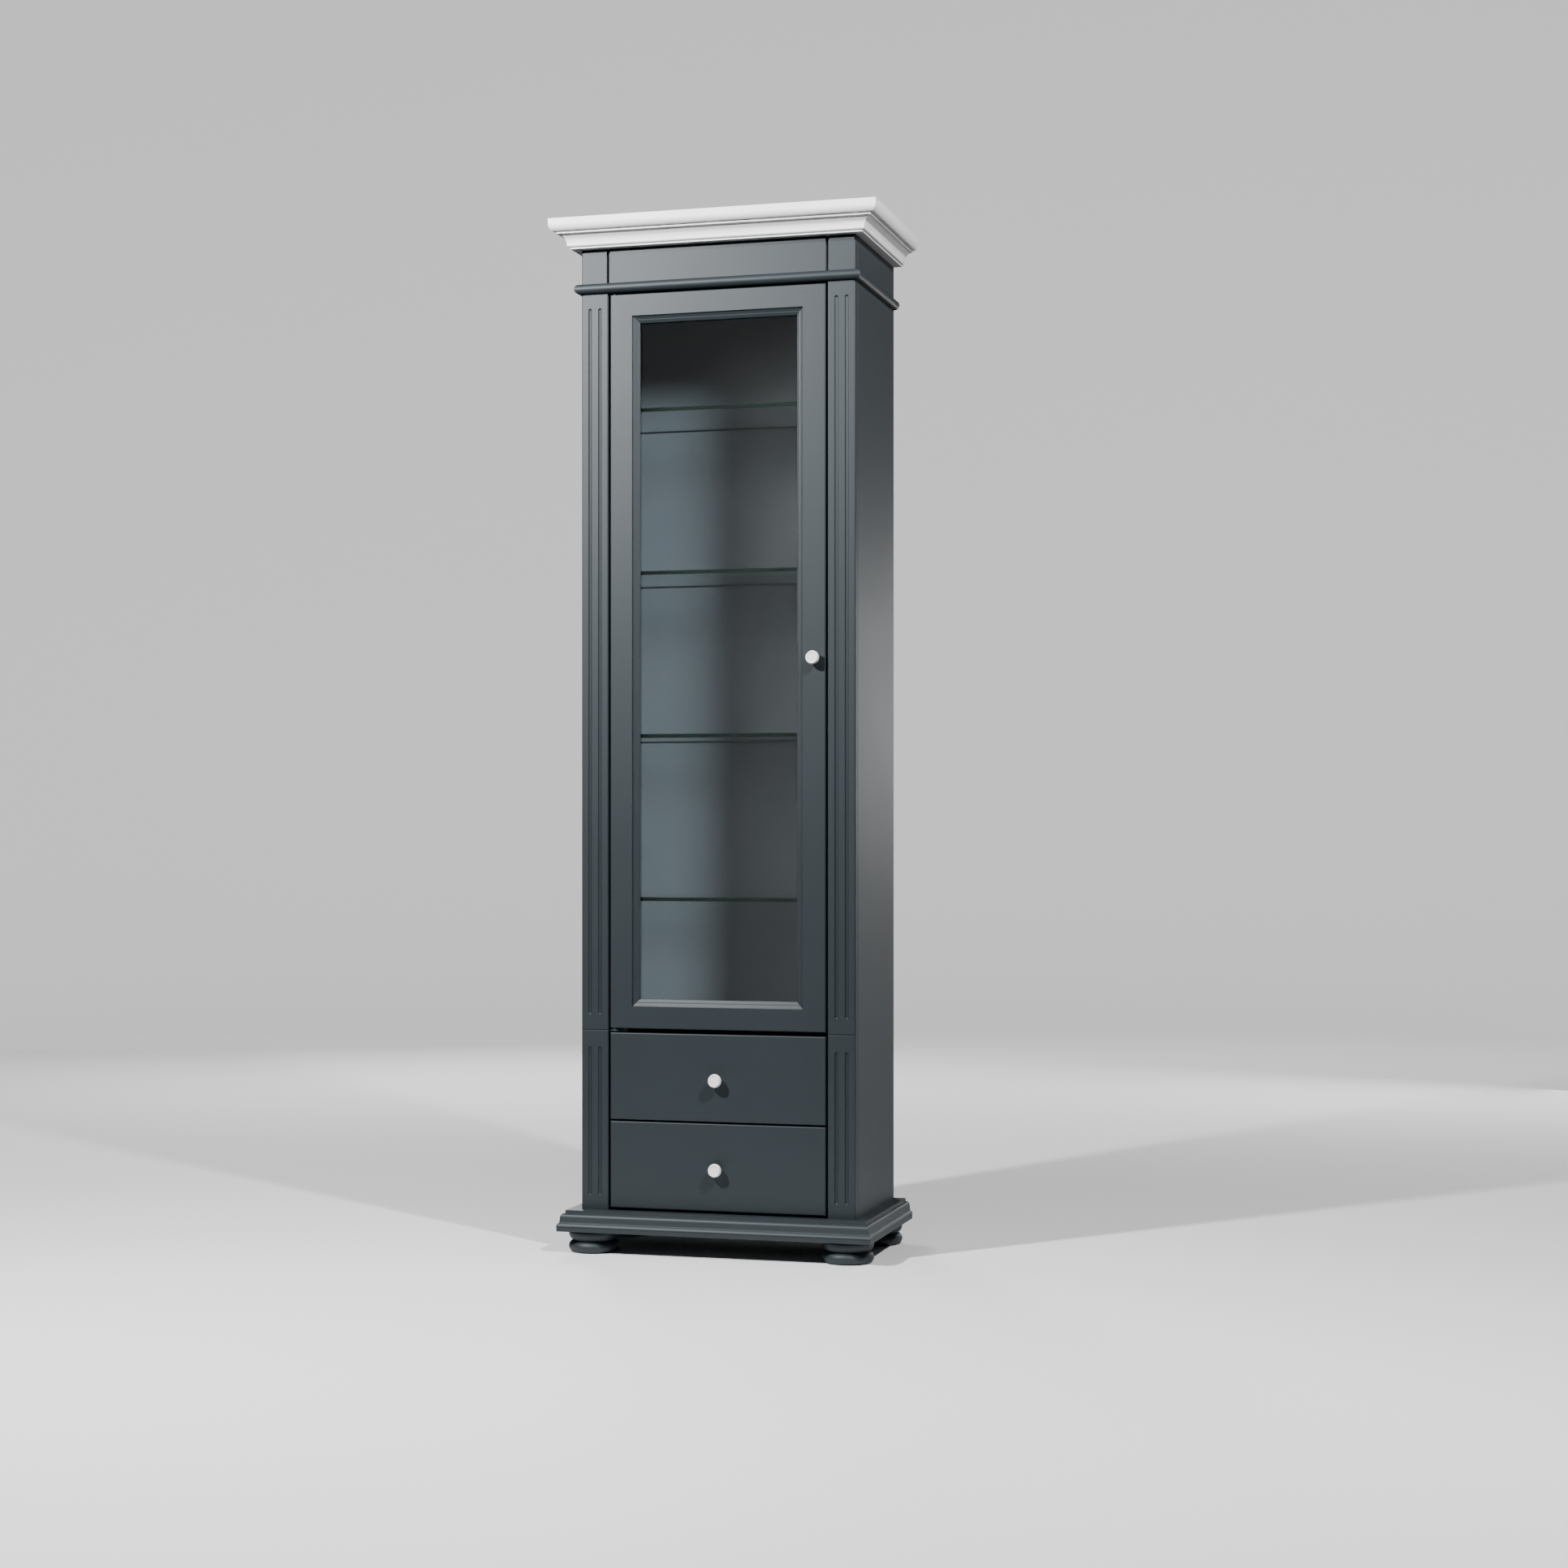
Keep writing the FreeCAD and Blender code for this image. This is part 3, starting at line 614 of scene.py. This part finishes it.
def swept_run(name: str, ends: tuple[Vector, Vector], out: Vector, profile_mm: Profile) -> bpy.types.Object:
    """Sweeps one edge through a closed profile, which makes a straight moulding with open ends.

    Args:
        name: Name of the new piece.
        ends: Both ends of the line that the profile is measured from.
        out: Direction that the moulding stands out in.
        profile_mm: Points of the profile: distance out and distance up.

    Returns:
        The moulding, still in edit mode.
    """
    points = [(out * across + Vector((0.0, 0.0, up))) * MM for across, up in profile_mm]
    bpy.ops.object.select_all(action="DESELECT")
    bpy.ops.mesh.primitive_plane_add(size=1.0)
    piece = bpy.context.active_object
    piece.name = name
    for corner in piece.data.vertices:
        corner.co = points[0] + (ends[0] if corner.co.x < 0 else ends[1])
    edit_edges("SELECT")
    bpy.ops.mesh.remove_doubles(threshold=WELD_MM * MM)
    bpy.ops.mesh.select_all(action="SELECT")
    for here, there in zip(points, points[1:] + points[:1]):
        bpy.ops.mesh.extrude_edges_move(TRANSFORM_OT_translate={"value": there - here})
    close_sweep()
    return piece


def swept_frame(
    name: str, low: Vector, high: Vector, front_y: float, profile_mm: Profile,
) -> bpy.types.Object:
    """Sweeps a rectangle through a closed profile, which makes a frame with mitred corners.

    Args:
        name: Name of the new piece.
        low: Lower outer corner of the frame.
        high: Upper outer corner of the frame.
        front_y: Place that the profile's depths are measured from.
        profile_mm: Points of the profile: distance inwards and distance back.

    Returns:
        The frame, still in edit mode.
    """
    half, middle = (high - low) / 2, (high + low) / 2
    first_in, first_back = profile_mm[0]
    bpy.ops.object.select_all(action="DESELECT")
    bpy.ops.mesh.primitive_plane_add(size=2.0)
    piece = bpy.context.active_object
    piece.name = name
    for corner in piece.data.vertices:
        corner.co = (
            middle.x + corner.co.x * (half.x - first_in * MM),
            front_y + first_back * MM,
            middle.z + corner.co.y * (half.z - first_in * MM),
        )
    edit_edges("SELECT")
    bpy.ops.mesh.delete(type="ONLY_FACE")
    bpy.ops.mesh.select_all(action="SELECT")
    for (here_in, here_back), (there_in, there_back) in zip(profile_mm, profile_mm[1:] + profile_mm[:1]):
        bpy.ops.mesh.extrude_edges_move(
            TRANSFORM_OT_translate={"value": (0.0, (there_back - here_back) * MM, 0.0)})
        bpy.ops.transform.resize(value=(
            (half.x - there_in * MM) / (half.x - here_in * MM),
            1.0,
            (half.z - there_in * MM) / (half.z - here_in * MM),
        ))
    close_sweep()
    return piece


@dataclass
class CrossScrew:
    """Pan-head wood screw with a cross recess: modelled once, then copied to each place."""

    head_radius_mm: float = 3.5
    head_height_mm: float = 1.5
    recess_length_share: float = 1.1
    recess_width_share: float = 0.3
    recess_depth_mm: float = 0.9
    head_sides: int = 28
    rim_share: float = 0.6
    rim_steps: int = 4
    pattern: bpy.types.Mesh | None = None

    def recess(self, piece: bpy.types.Object, place: Vector, facing: Facing, radius_mm: float) -> None:
        """Cuts the cross into a head.

        Args:
            piece: Object that has the head.
            place: Middle of the head's outer face.
            facing: Direction that the head looks in.
            radius_mm: Radius of the head.
        """
        for quarter in (0.0, math.pi / 2):
            bpy.ops.object.select_all(action="DESELECT")
            bpy.ops.mesh.primitive_cube_add(size=1.0)
            cutter = bpy.context.active_object
            size = (
                self.recess_length_share * radius_mm * MM,
                self.recess_width_share * radius_mm * MM,
                2 * self.recess_depth_mm * MM,
            )
            cutter.data.transform(
                Matrix.Translation(place) @ facing.turn() @ Matrix.Rotation(quarter, 4, "Z")
                @ Matrix.Diagonal((*size, 1.0)))
            select_only(piece)
            apply_modifier(piece, "BOOLEAN", object=cutter, operation="DIFFERENCE", solver="EXACT")
            bpy.data.objects.remove(cutter)

    def model(self) -> bpy.types.Mesh:
        """Models the head once, standing on the origin and looking up.

        Returns:
            The head's mesh, to be copied.
        """
        if self.pattern is not None:
            return self.pattern
        height = self.head_height_mm * MM
        bpy.ops.object.select_all(action="DESELECT")
        bpy.ops.mesh.primitive_cylinder_add(
            vertices=self.head_sides, radius=self.head_radius_mm * MM, depth=height,
            location=(0.0, 0.0, height / 2))
        head = bpy.context.active_object
        bpy.ops.object.transform_apply(location=True)
        for edge in head.data.edges:
            edge.select = all(head.data.vertices[end].co.z > height / 2 for end in edge.vertices)
        bpy.ops.object.mode_set(mode="EDIT")
        bpy.ops.mesh.select_mode(type="EDGE")
        bpy.ops.mesh.bevel(offset=self.rim_share * height, segments=self.rim_steps, affect="EDGES")
        bpy.ops.object.mode_set(mode="OBJECT")
        self.recess(head, Vector((0.0, 0.0, height)), Facing.UP, self.head_radius_mm)
        bpy.ops.object.shade_smooth_by_angle(angle=SCREW_SMOOTH_ANGLE)
        self.pattern = head.data
        bpy.data.objects.remove(head)
        return self.pattern

    def drive(self, name: str, place: Vector, facing: Facing, body: str) -> bpy.types.Object:
        """Copies the screw to a place.

        Args:
            name: Name of the new piece.
            place: Point of the surface under the middle of the head.
            facing: Direction that the head looks in.
            body: CAD body that carries it.

        Returns:
            The new piece.
        """
        piece = bpy.data.objects.new(name, self.model().copy())
        piece.data.transform(Matrix.Translation(place) @ facing.turn())
        bpy.context.scene.collection.objects.link(piece)
        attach(piece, body)
        return piece


SCREW = CrossScrew()


@dataclass
class SubAssembly:
    """A group of the cabinet's pieces that is built and dressed together."""

    pieces: list[tuple[bpy.types.Object, Finish]] = field(default_factory=list, init=False)

    def build(self) -> None:
        """Makes the meshes of this group."""
        raise NotImplementedError

    def dress(self) -> None:
        """Gives every piece of this group its finish."""
        for piece, finish in self.pieces:
            piece.data.materials.clear()
            piece.data.materials.append(finish.material())
            LOG.info("%s in %s", piece.name, finish.name)

    def stay(self, *nodes: str) -> None:
        """Keeps CAD nodes as they are."""
        self.pieces += [(frame["nodes"][node], FINISHES[SLOT_OF[node]]) for node in nodes]

    def ease(self, *nodes: str, width_mm: float, joint: JointTest | None = None) -> None:
        """Replaces CAD nodes by copies with eased arrises."""
        self.pieces += [(eased_copy(node, width_mm, joint), FINISHES[SLOT_OF[node]]) for node in nodes]

    def adopt(self, piece: bpy.types.Object, node: str, width_mm: float, joint: JointTest) -> None:
        """Leaves edit mode, eases a swept piece and lets it stand for a CAD node.

        Args:
            piece: The swept piece, in edit mode.
            node: Name of the CAD node.
            width_mm: Width of the rounding on each sharp arris.
            joint: Test for points of its mitres, whose arrises stay sharp.
        """
        bpy.ops.object.mode_set(mode="OBJECT")
        ease_arrises(piece, width_mm, joint)
        stand_for(piece, node)
        self.pieces.append((piece, FINISHES[SLOT_OF[node]]))

    def screw(self, name: str, place: Place, facing: Facing, body: str) -> None:
        """Adds one small screw."""
        self.pieces.append((SCREW.drive(name, Vector(place), facing, body), FINISHES["zinc_steel"]))


@dataclass
class Carcase(SubAssembly):
    """Sides, level boards, back, drawer liners and the fittings that are screwed to them."""

    board_ease_mm: float = 0.6
    fitting_ease_mm: float = 0.3
    channel_wall_mm: float = 1.5
    channel_screw_shares: tuple[float, ...] = (0.1, 0.5, 0.9)
    plate_screw_inset_mm: float = 7.0
    catch_screw_inset_mm: float = 5.0

    def build(self) -> None:
        """Eases the boards and sets the fittings' screws."""
        self.ease(
            "side_panel_left", "side_panel_right", "bottom_panel", "divider_panel", "top_panel", "back_panel",
            "drawer_liners", width_mm=self.board_ease_mm)
        self.ease("runner_channels", "hinge_pivots", "magnetic_catch", width_mm=self.fitting_ease_mm)
        self.channel_screws()
        self.pivot_screws()
        self.catch_screws()

    def channel_screws(self) -> None:
        """Three screws inside each runner channel."""
        low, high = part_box("runner_channels")
        web = high.x - self.channel_wall_mm * MM
        for drawer in ("upper_drawer", "lower_drawer"):
            bar_low, bar_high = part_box(f"{drawer}_runner_bars")
            for side, facing in (("left", Facing.RIGHT), ("right", Facing.LEFT)):
                for number, share in enumerate(self.channel_screw_shares, start=1):
                    place = (
                        -facing.value[0] * web,
                        low.y + share * (high.y - low.y),
                        (bar_low.z + bar_high.z) / 2,
                    )
                    self.screw(f"{drawer}_channel_screw_{side}_{number}", place, facing, "carcase")

    def pivot_screws(self) -> None:
        """One screw through each pivot's plate."""
        bush_low, bush_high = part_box("hinge_bushes")
        divider_low, divider_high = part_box("divider_panel")
        screw_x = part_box("hinge_pivots")[1].x - self.plate_screw_inset_mm * MM
        top = (screw_x, (bush_low.y + bush_high.y) / 2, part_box("frieze_panel")[0].z)
        self.screw("top_pivot_screw", top, Facing.DOWN, "carcase")
        bottom = (screw_x, divider_low.y, (divider_low.z + divider_high.z) / 2)
        self.screw("bottom_pivot_screw", bottom, Facing.FRONT, "carcase")

    def catch_screws(self) -> None:
        """Two screws up through the catch."""
        low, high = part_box("magnetic_catch")
        inset = self.catch_screw_inset_mm * MM
        for name, x in (("left", low.x + inset), ("right", high.x - inset)):
            self.screw(f"catch_screw_{name}", (x, (low.y + high.y) / 2, low.z), Facing.DOWN, "carcase")


@dataclass
class FrontFrame(SubAssembly):
    """Fluted pilasters and the frieze with its bead."""

    flute_ease_mm: float = 0.5
    frieze_ease_mm: float = 0.4

    def build(self) -> None:
        """Eases the flutes' and the frieze's arrises."""
        for height in ("upper", "lower"):
            self.ease(f"pilaster_{height}_left", f"pilaster_{height}_right", width_mm=self.flute_ease_mm)
        self.ease("frieze_panel", "frieze_blocks", width_mm=self.frieze_ease_mm)
        self.stay("frieze_bead_front", "frieze_bead_returns")


@dataclass
class Crown(SubAssembly):
    """White crown mitred round the front and both sides, on its board."""

    step_ease_mm: float = 0.8

    def build(self) -> None:
        """Eases the steps of the crown's profile."""
        self.ease(
            "crown_front", "crown_left", "crown_right", width_mm=self.step_ease_mm, joint=three_sided_mitre)
        self.stay("crown_board")


@dataclass
class Base(SubAssembly):
    """Base moulding, the plinth rails behind it and the turned feet."""

    profile_mm: Profile = (
        (0.0, 0.0), (42.0, 0.0), (42.0, 9.6), (43.0, 10.2), (43.0, 11.2), (42.4, 13.0), (41.3, 15.0),
        (39.6, 16.8), (38.2, 17.7), (37.6, 18.4), (37.1, 21.0), (36.6, 25.0), (36.2, 29.0), (36.0, 30.6),
        (35.4, 32.4), (34.3, 34.3), (32.6, 36.0), (30.2, 37.2), (28.0, 37.6), (27.3, 37.9), (27.0, 38.6),
        (27.0, 44.0), (0.0, 44.0),
    )
    step_ease_mm: float = 0.3
    run_overlap_mm: float = 100.0

    def build(self) -> None:
        """Sweeps the base moulding and keeps the rails and the turned feet."""
        self.mouldings()
        self.stay("plinth_rails")
        self.stay(*(f"foot_{place}_{side}" for place in ("front", "back") for side in ("left", "right")))

    def mouldings(self) -> None:
        """Three runs, mitred at both front corners."""
        low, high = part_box("base_moulding_right")
        spare = self.run_overlap_mm * MM
        corners = {"left": Vector((-SIDE_X, FRONT_Y, low.z)), "right": Vector((SIDE_X, FRONT_Y, low.z))}
        across, along = Vector((spare, 0.0, 0.0)), Vector((0.0, spare, 0.0))
        back = Vector((0.0, high.y - FRONT_Y, 0.0))
        runs = (
            ("base_moulding_front", Facing.FRONT, (corners["left"] - across, corners["right"] + across)),
            ("base_moulding_left", Facing.LEFT, (corners["left"] - along, corners["left"] + back)),
            ("base_moulding_right", Facing.RIGHT, (corners["right"] - along, corners["right"] + back)),
        )
        for node, facing, ends in runs:
            piece = swept_run(f"{node}_swept", ends, Vector(facing.value), self.profile_mm)
            bpy.ops.mesh.select_all(action="DESELECT")
            bpy.ops.mesh.select_non_manifold()
            bpy.ops.mesh.edge_face_add()
            for name, corner in corners.items():
                if facing is not Facing.FRONT and name != facing.name.lower():
                    continue
                bpy.ops.mesh.select_all(action="SELECT")
                bpy.ops.mesh.bisect(
                    plane_co=corner, plane_no=(math.copysign(1.0, corner.x), 1.0, 0.0), use_fill=True,
                    clear_outer=facing is Facing.FRONT, clear_inner=facing is not Facing.FRONT)
            self.adopt(piece, node, self.step_ease_mm, three_sided_mitre)


@dataclass
class ShelfSet(SubAssembly):
    """Glass shelves on their pins."""

    pin_ease_mm: float = 0.5

    def build(self) -> None:
        """Keeps the ground glass as it is and eases the pins' pads."""
        self.stay(*SHELVES)
        self.ease("shelf_pins", width_mm=self.pin_ease_mm)


@dataclass
class Front(SubAssembly):
    """A front that moves, with its knob and the screw behind it."""

    name: str = "door"
    board_ease_mm: float = 0.5
    screw_ease_mm: float = 0.4

    def knob(self) -> None:
        """Keeps the turned knob and cuts the cross into its screw."""
        self.stay(f"{self.name}_knob")
        node = f"{self.name}_knob_screw"
        self.ease(node, width_mm=self.screw_ease_mm)
        low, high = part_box(node)
        middle = Vector(((low.x + high.x) / 2, high.y, (low.z + high.z) / 2))
        piece = self.pieces[-1][0]
        SCREW.recess(piece, middle, Facing.BACK, (high.x - low.x) / 2 / MM)
        bpy.ops.object.shade_smooth_by_angle(angle=SCREW_SMOOTH_ANGLE)


@dataclass
class Door(Front):
    """Glazed door: frame, mitred mouldings, glass, rear beads and fittings."""

    moulding_mm: Profile = (
        (0.0, 14.0), (0.0, 2.4), (0.5, 2.6), (6.4, 5.7), (7.0, 5.95), (8.8, 6.35), (9.4, 6.6), (14.0, 9.0),
        (14.8, 9.5), (14.8, 14.0),
    )
    strip_ease_mm: float = 0.3

    def build(self) -> None:
        """Eases the frame, sweeps the mouldings and sets the fittings."""
        self.ease(
            "door_stile_left", "door_stile_right", "door_rail_top", "door_rail_bottom",
            width_mm=self.board_ease_mm, joint=stile_joint)
        self.mouldings()
        self.ease("glazing_beads", width_mm=self.strip_ease_mm, joint=glazing_mitre)
        self.stay("door_glass", "hinge_bushes")
        self.ease("catch_strike", width_mm=self.strip_ease_mm)
        self.knob()

    def mouldings(self) -> None:
        """Strips round the front of the glass, each with two slopes, mitred at the corners."""
        node = "glazing_mouldings"
        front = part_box("door_rail_top")[0].y
        piece = swept_frame(f"{node}_swept", GLAZING_LOW, GLAZING_HIGH, front, self.moulding_mm)
        self.adopt(piece, node, self.strip_ease_mm, glazing_mitre)


@dataclass
class Drawer(Front):
    """One drawer: front, birch box, runner bars and their screws."""

    box_ease_mm: float = 1.2
    bar_ease_mm: float = 0.3
    bar_wall_mm: float = 1.5
    bar_screw_shares: tuple[float, ...] = (0.12, 0.5, 0.88)

    def build(self) -> None:
        """Eases the front, box and bars, and sets the bars' screws."""
        self.ease(f"{self.name}_front", width_mm=self.board_ease_mm)
        for part, ply in DRAWER_PLY.items():
            self.pieces.append((eased_copy(f"{self.name}_{part}", self.box_ease_mm), ply))
        self.ease(f"{self.name}_runner_bars", width_mm=self.bar_ease_mm)
        self.knob()
        low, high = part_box(f"{self.name}_runner_bars")
        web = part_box(f"{self.name}_sides")[1].x + self.bar_wall_mm * MM
        for side, facing in (("left", Facing.LEFT), ("right", Facing.RIGHT)):
            for number, share in enumerate(self.bar_screw_shares, start=1):
                place = (facing.value[0] * web, low.y + share * (high.y - low.y), (low.z + high.z) / 2)
                self.screw(f"{self.name}_bar_screw_{side}_{number}", place, facing, self.name)


@dataclass(frozen=True)
class Lamp:
    """A round lamp: its middle and diameter in metres, and its power in watts."""

    name: str
    place: Place
    size: float
    power: float


@dataclass(frozen=True)
class Sun:
    """A far light for the space behind the glass: the way its beam runs, and its strength."""

    name: str
    beam: Place
    strength: float


@dataclass
class Studio:
    """Pale seamless stage, studio lights and the camera of the photograph."""

    image_side: int = 1932
    focal_pixels: float = 3265.7
    horizon_row: float = 1019.04
    sensor_mm: float = 36.0
    camera_place: Place = (1.6269, -5.4573, 0.9025)
    camera_turn_degrees: float = 15.569
    lamps: tuple[Lamp, ...] = (
        Lamp("key", (-1.52, -2.33, 2.82), 0.16, 140.0),
        Lamp("second", (2.23, -1.95, 3.3), 0.16, 117.0),
        Lamp("rim", (1.34, 4.17, 1.36), 1.1, 20.0),
        Lamp("low_rim", (2.4, 3.6, 0.1), 1.6, 10.0),
        Lamp("high_rim", (2.4, 3.6, 2.9), 1.6, 5.0),
        Lamp("back_fill", (-2.2, 4.0, 2.6), 1.2, 80.0),
    )
    aim: Place = (0.0, 0.0, 1.1)
    suns: tuple[Sun, ...] = (
        Sun("inside_right", (-0.95, 1.0, -0.36), 13.0),
        Sun("inside_front", (0.0, 1.0, -0.42), 0.6),
    )
    sun_angle_degrees: float = 14.0
    behind_glass: tuple[str, ...] = ("back_panel_eased", "shelf_pins_eased")
    world_colour: str = "#C8CBCE"
    world_strength: float = 0.06
    floor_radius: float = 1.0
    sweep_radius: float = 6.5
    wall_height: float = 7.0
    cove_radius: float = 2.5
    cove_steps: int = 12
    round_sides: int = 96

    def build(self) -> None:
        """Sets up the stage, lights, world and camera."""
        self.floor()
        self.sweep()
        self.lights()
        self.camera()

    def floor(self) -> None:
        """The round of pale floor under the cabinet, which throws light back on it."""
        bpy.ops.object.select_all(action="DESELECT")
        bpy.ops.mesh.primitive_circle_add(
            vertices=self.round_sides, radius=self.floor_radius, fill_type="NGON")
        floor = bpy.context.active_object
        floor.name = "studio_floor"
        floor.data.materials.append(StudioPaper("pale_studio_paper").material())

    def sweep(self) -> None:
        """The floor's outer part, which sweeps up into a wall all the way round.

        It is only a backdrop: it throws no light on the cabinet and isn't mirrored in it.
        """
        bpy.ops.object.select_all(action="DESELECT")
        bpy.ops.mesh.primitive_circle_add(vertices=self.round_sides, radius=self.floor_radius)
        sweep = bpy.context.active_object
        sweep.name = "studio_sweep"
        edit_edges("SELECT")
        bends = [math.pi / 2 * step / self.cove_steps for step in range(self.cove_steps + 1)]
        radii = [self.sweep_radius + self.cove_radius * math.sin(bend) for bend in bends]
        heights = [self.cove_radius * (1 - math.cos(bend)) for bend in bends]
        radius, height = self.floor_radius, 0.0
        for next_radius, next_height in zip(radii + radii[-1:], heights + [self.wall_height]):
            bpy.ops.mesh.extrude_edges_move(
                TRANSFORM_OT_translate={"value": (0, 0, next_height - height)})
            bpy.ops.transform.resize(value=(next_radius / radius, next_radius / radius, 1))
            radius, height = next_radius, next_height
        bpy.ops.object.mode_set(mode="OBJECT")
        bpy.ops.object.shade_smooth_by_angle(angle=SMOOTH_ANGLE)
        sweep.data.materials.append(StudioPaper("pale_studio_paper").material())
        sweep.visible_diffuse = False
        sweep.visible_glossy = False
        sweep.visible_shadow = False

    def hang(self, lamp: Lamp) -> None:
        """Hangs one lamp that looks at the middle of the cabinet.

        Args:
            lamp: The lamp's place, size and power.
        """
        data = bpy.data.lights.new(lamp.name, "AREA")
        data.shape = "DISK"
        data.size = lamp.size
        data.energy = lamp.power
        hung = bpy.data.objects.new(lamp.name, data)
        hung.location = lamp.place
        aim = Vector(self.aim) - Vector(lamp.place)
        hung.rotation_euler = aim.to_track_quat("-Z", "Y").to_euler()
        hung.visible_camera = False
        bpy.context.scene.collection.objects.link(hung)

    def lights(self) -> None:
        """Key from the front left, second from the front right, three rims and a fill from behind."""
        for lamp in self.lamps:
            self.hang(lamp)
        world = bpy.data.worlds.new("studio")
        world.use_nodes = True
        background = world.node_tree.nodes["Background"]
        background.inputs["Color"].default_value = linear(self.world_colour)
        background.inputs["Strength"].default_value = self.world_strength
        bpy.context.scene.world = world
        bpy.context.scene.view_settings.view_transform = "AgX"
        bpy.context.scene.view_settings.look = "AgX - Medium High Contrast"

    def leave_out(self, lamp: str, pieces: list[str]) -> None:
        """Keeps one lamp's light off some pieces.

        Args:
            lamp: Name of the lamp.
            pieces: Names of the pieces that it doesn't light.
        """
        dark = bpy.data.collections.new(f"{lamp}_leaves_out")
        for piece in pieces:
            dark.objects.link(bpy.data.objects[piece])
        for entry in dark.collection_objects:
            entry.light_linking.link_state = "EXCLUDE"
        bpy.data.objects[lamp].light_linking.receiver_collection = dark

    def show_inside(self) -> None:
        """Gives the back panel and the pins even light of their own, in place of the two front lamps."""
        self.leave_out("key", [*self.behind_glass, *SHELVES])
        self.leave_out("second", [*self.behind_glass, "side_panel_left_eased", *SHELVES])
        lit = bpy.data.collections.new("lit_behind_glass")
        for piece in self.behind_glass:
            lit.objects.link(bpy.data.objects[piece])
        for sun in self.suns:
            data = bpy.data.lights.new(sun.name, "SUN")
            data.angle = math.radians(self.sun_angle_degrees)
            data.energy = sun.strength
            lamp = bpy.data.objects.new(sun.name, data)
            lamp.rotation_euler = Vector(sun.beam).to_track_quat("-Z", "Y").to_euler()
            lamp.light_linking.receiver_collection = lit
            bpy.context.scene.collection.objects.link(lamp)

    def camera(self) -> None:
        """The photograph's viewpoint, level, with the horizon below the middle of the frame."""
        data = bpy.data.cameras.new("photograph_view")
        data.sensor_width = self.sensor_mm
        data.lens = data.sensor_width * self.focal_pixels / self.image_side
        data.shift_y = (self.horizon_row - self.image_side / 2) / self.image_side
        view = bpy.data.objects.new("photograph_view", data)
        view.location = self.camera_place
        view.rotation_euler = (math.radians(90), 0.0, math.radians(self.camera_turn_degrees))
        bpy.context.scene.collection.objects.link(view)
        bpy.context.scene.camera = view


def main() -> None:
    """Builds and dresses each sub-assembly in order."""
    logging.basicConfig(level=logging.INFO, format="%(name)s: %(message)s")
    studio = Studio()
    studio.build()
    groups = (
        Carcase(),
        FrontFrame(),
        Crown(),
        Base(),
        ShelfSet(),
        Door(),
        Drawer(name="upper_drawer"),
        Drawer(name="lower_drawer"),
    )
    for group in groups:
        group.build()
        group.dress()
    studio.show_inside()


if __name__ == "__main__":
    main()
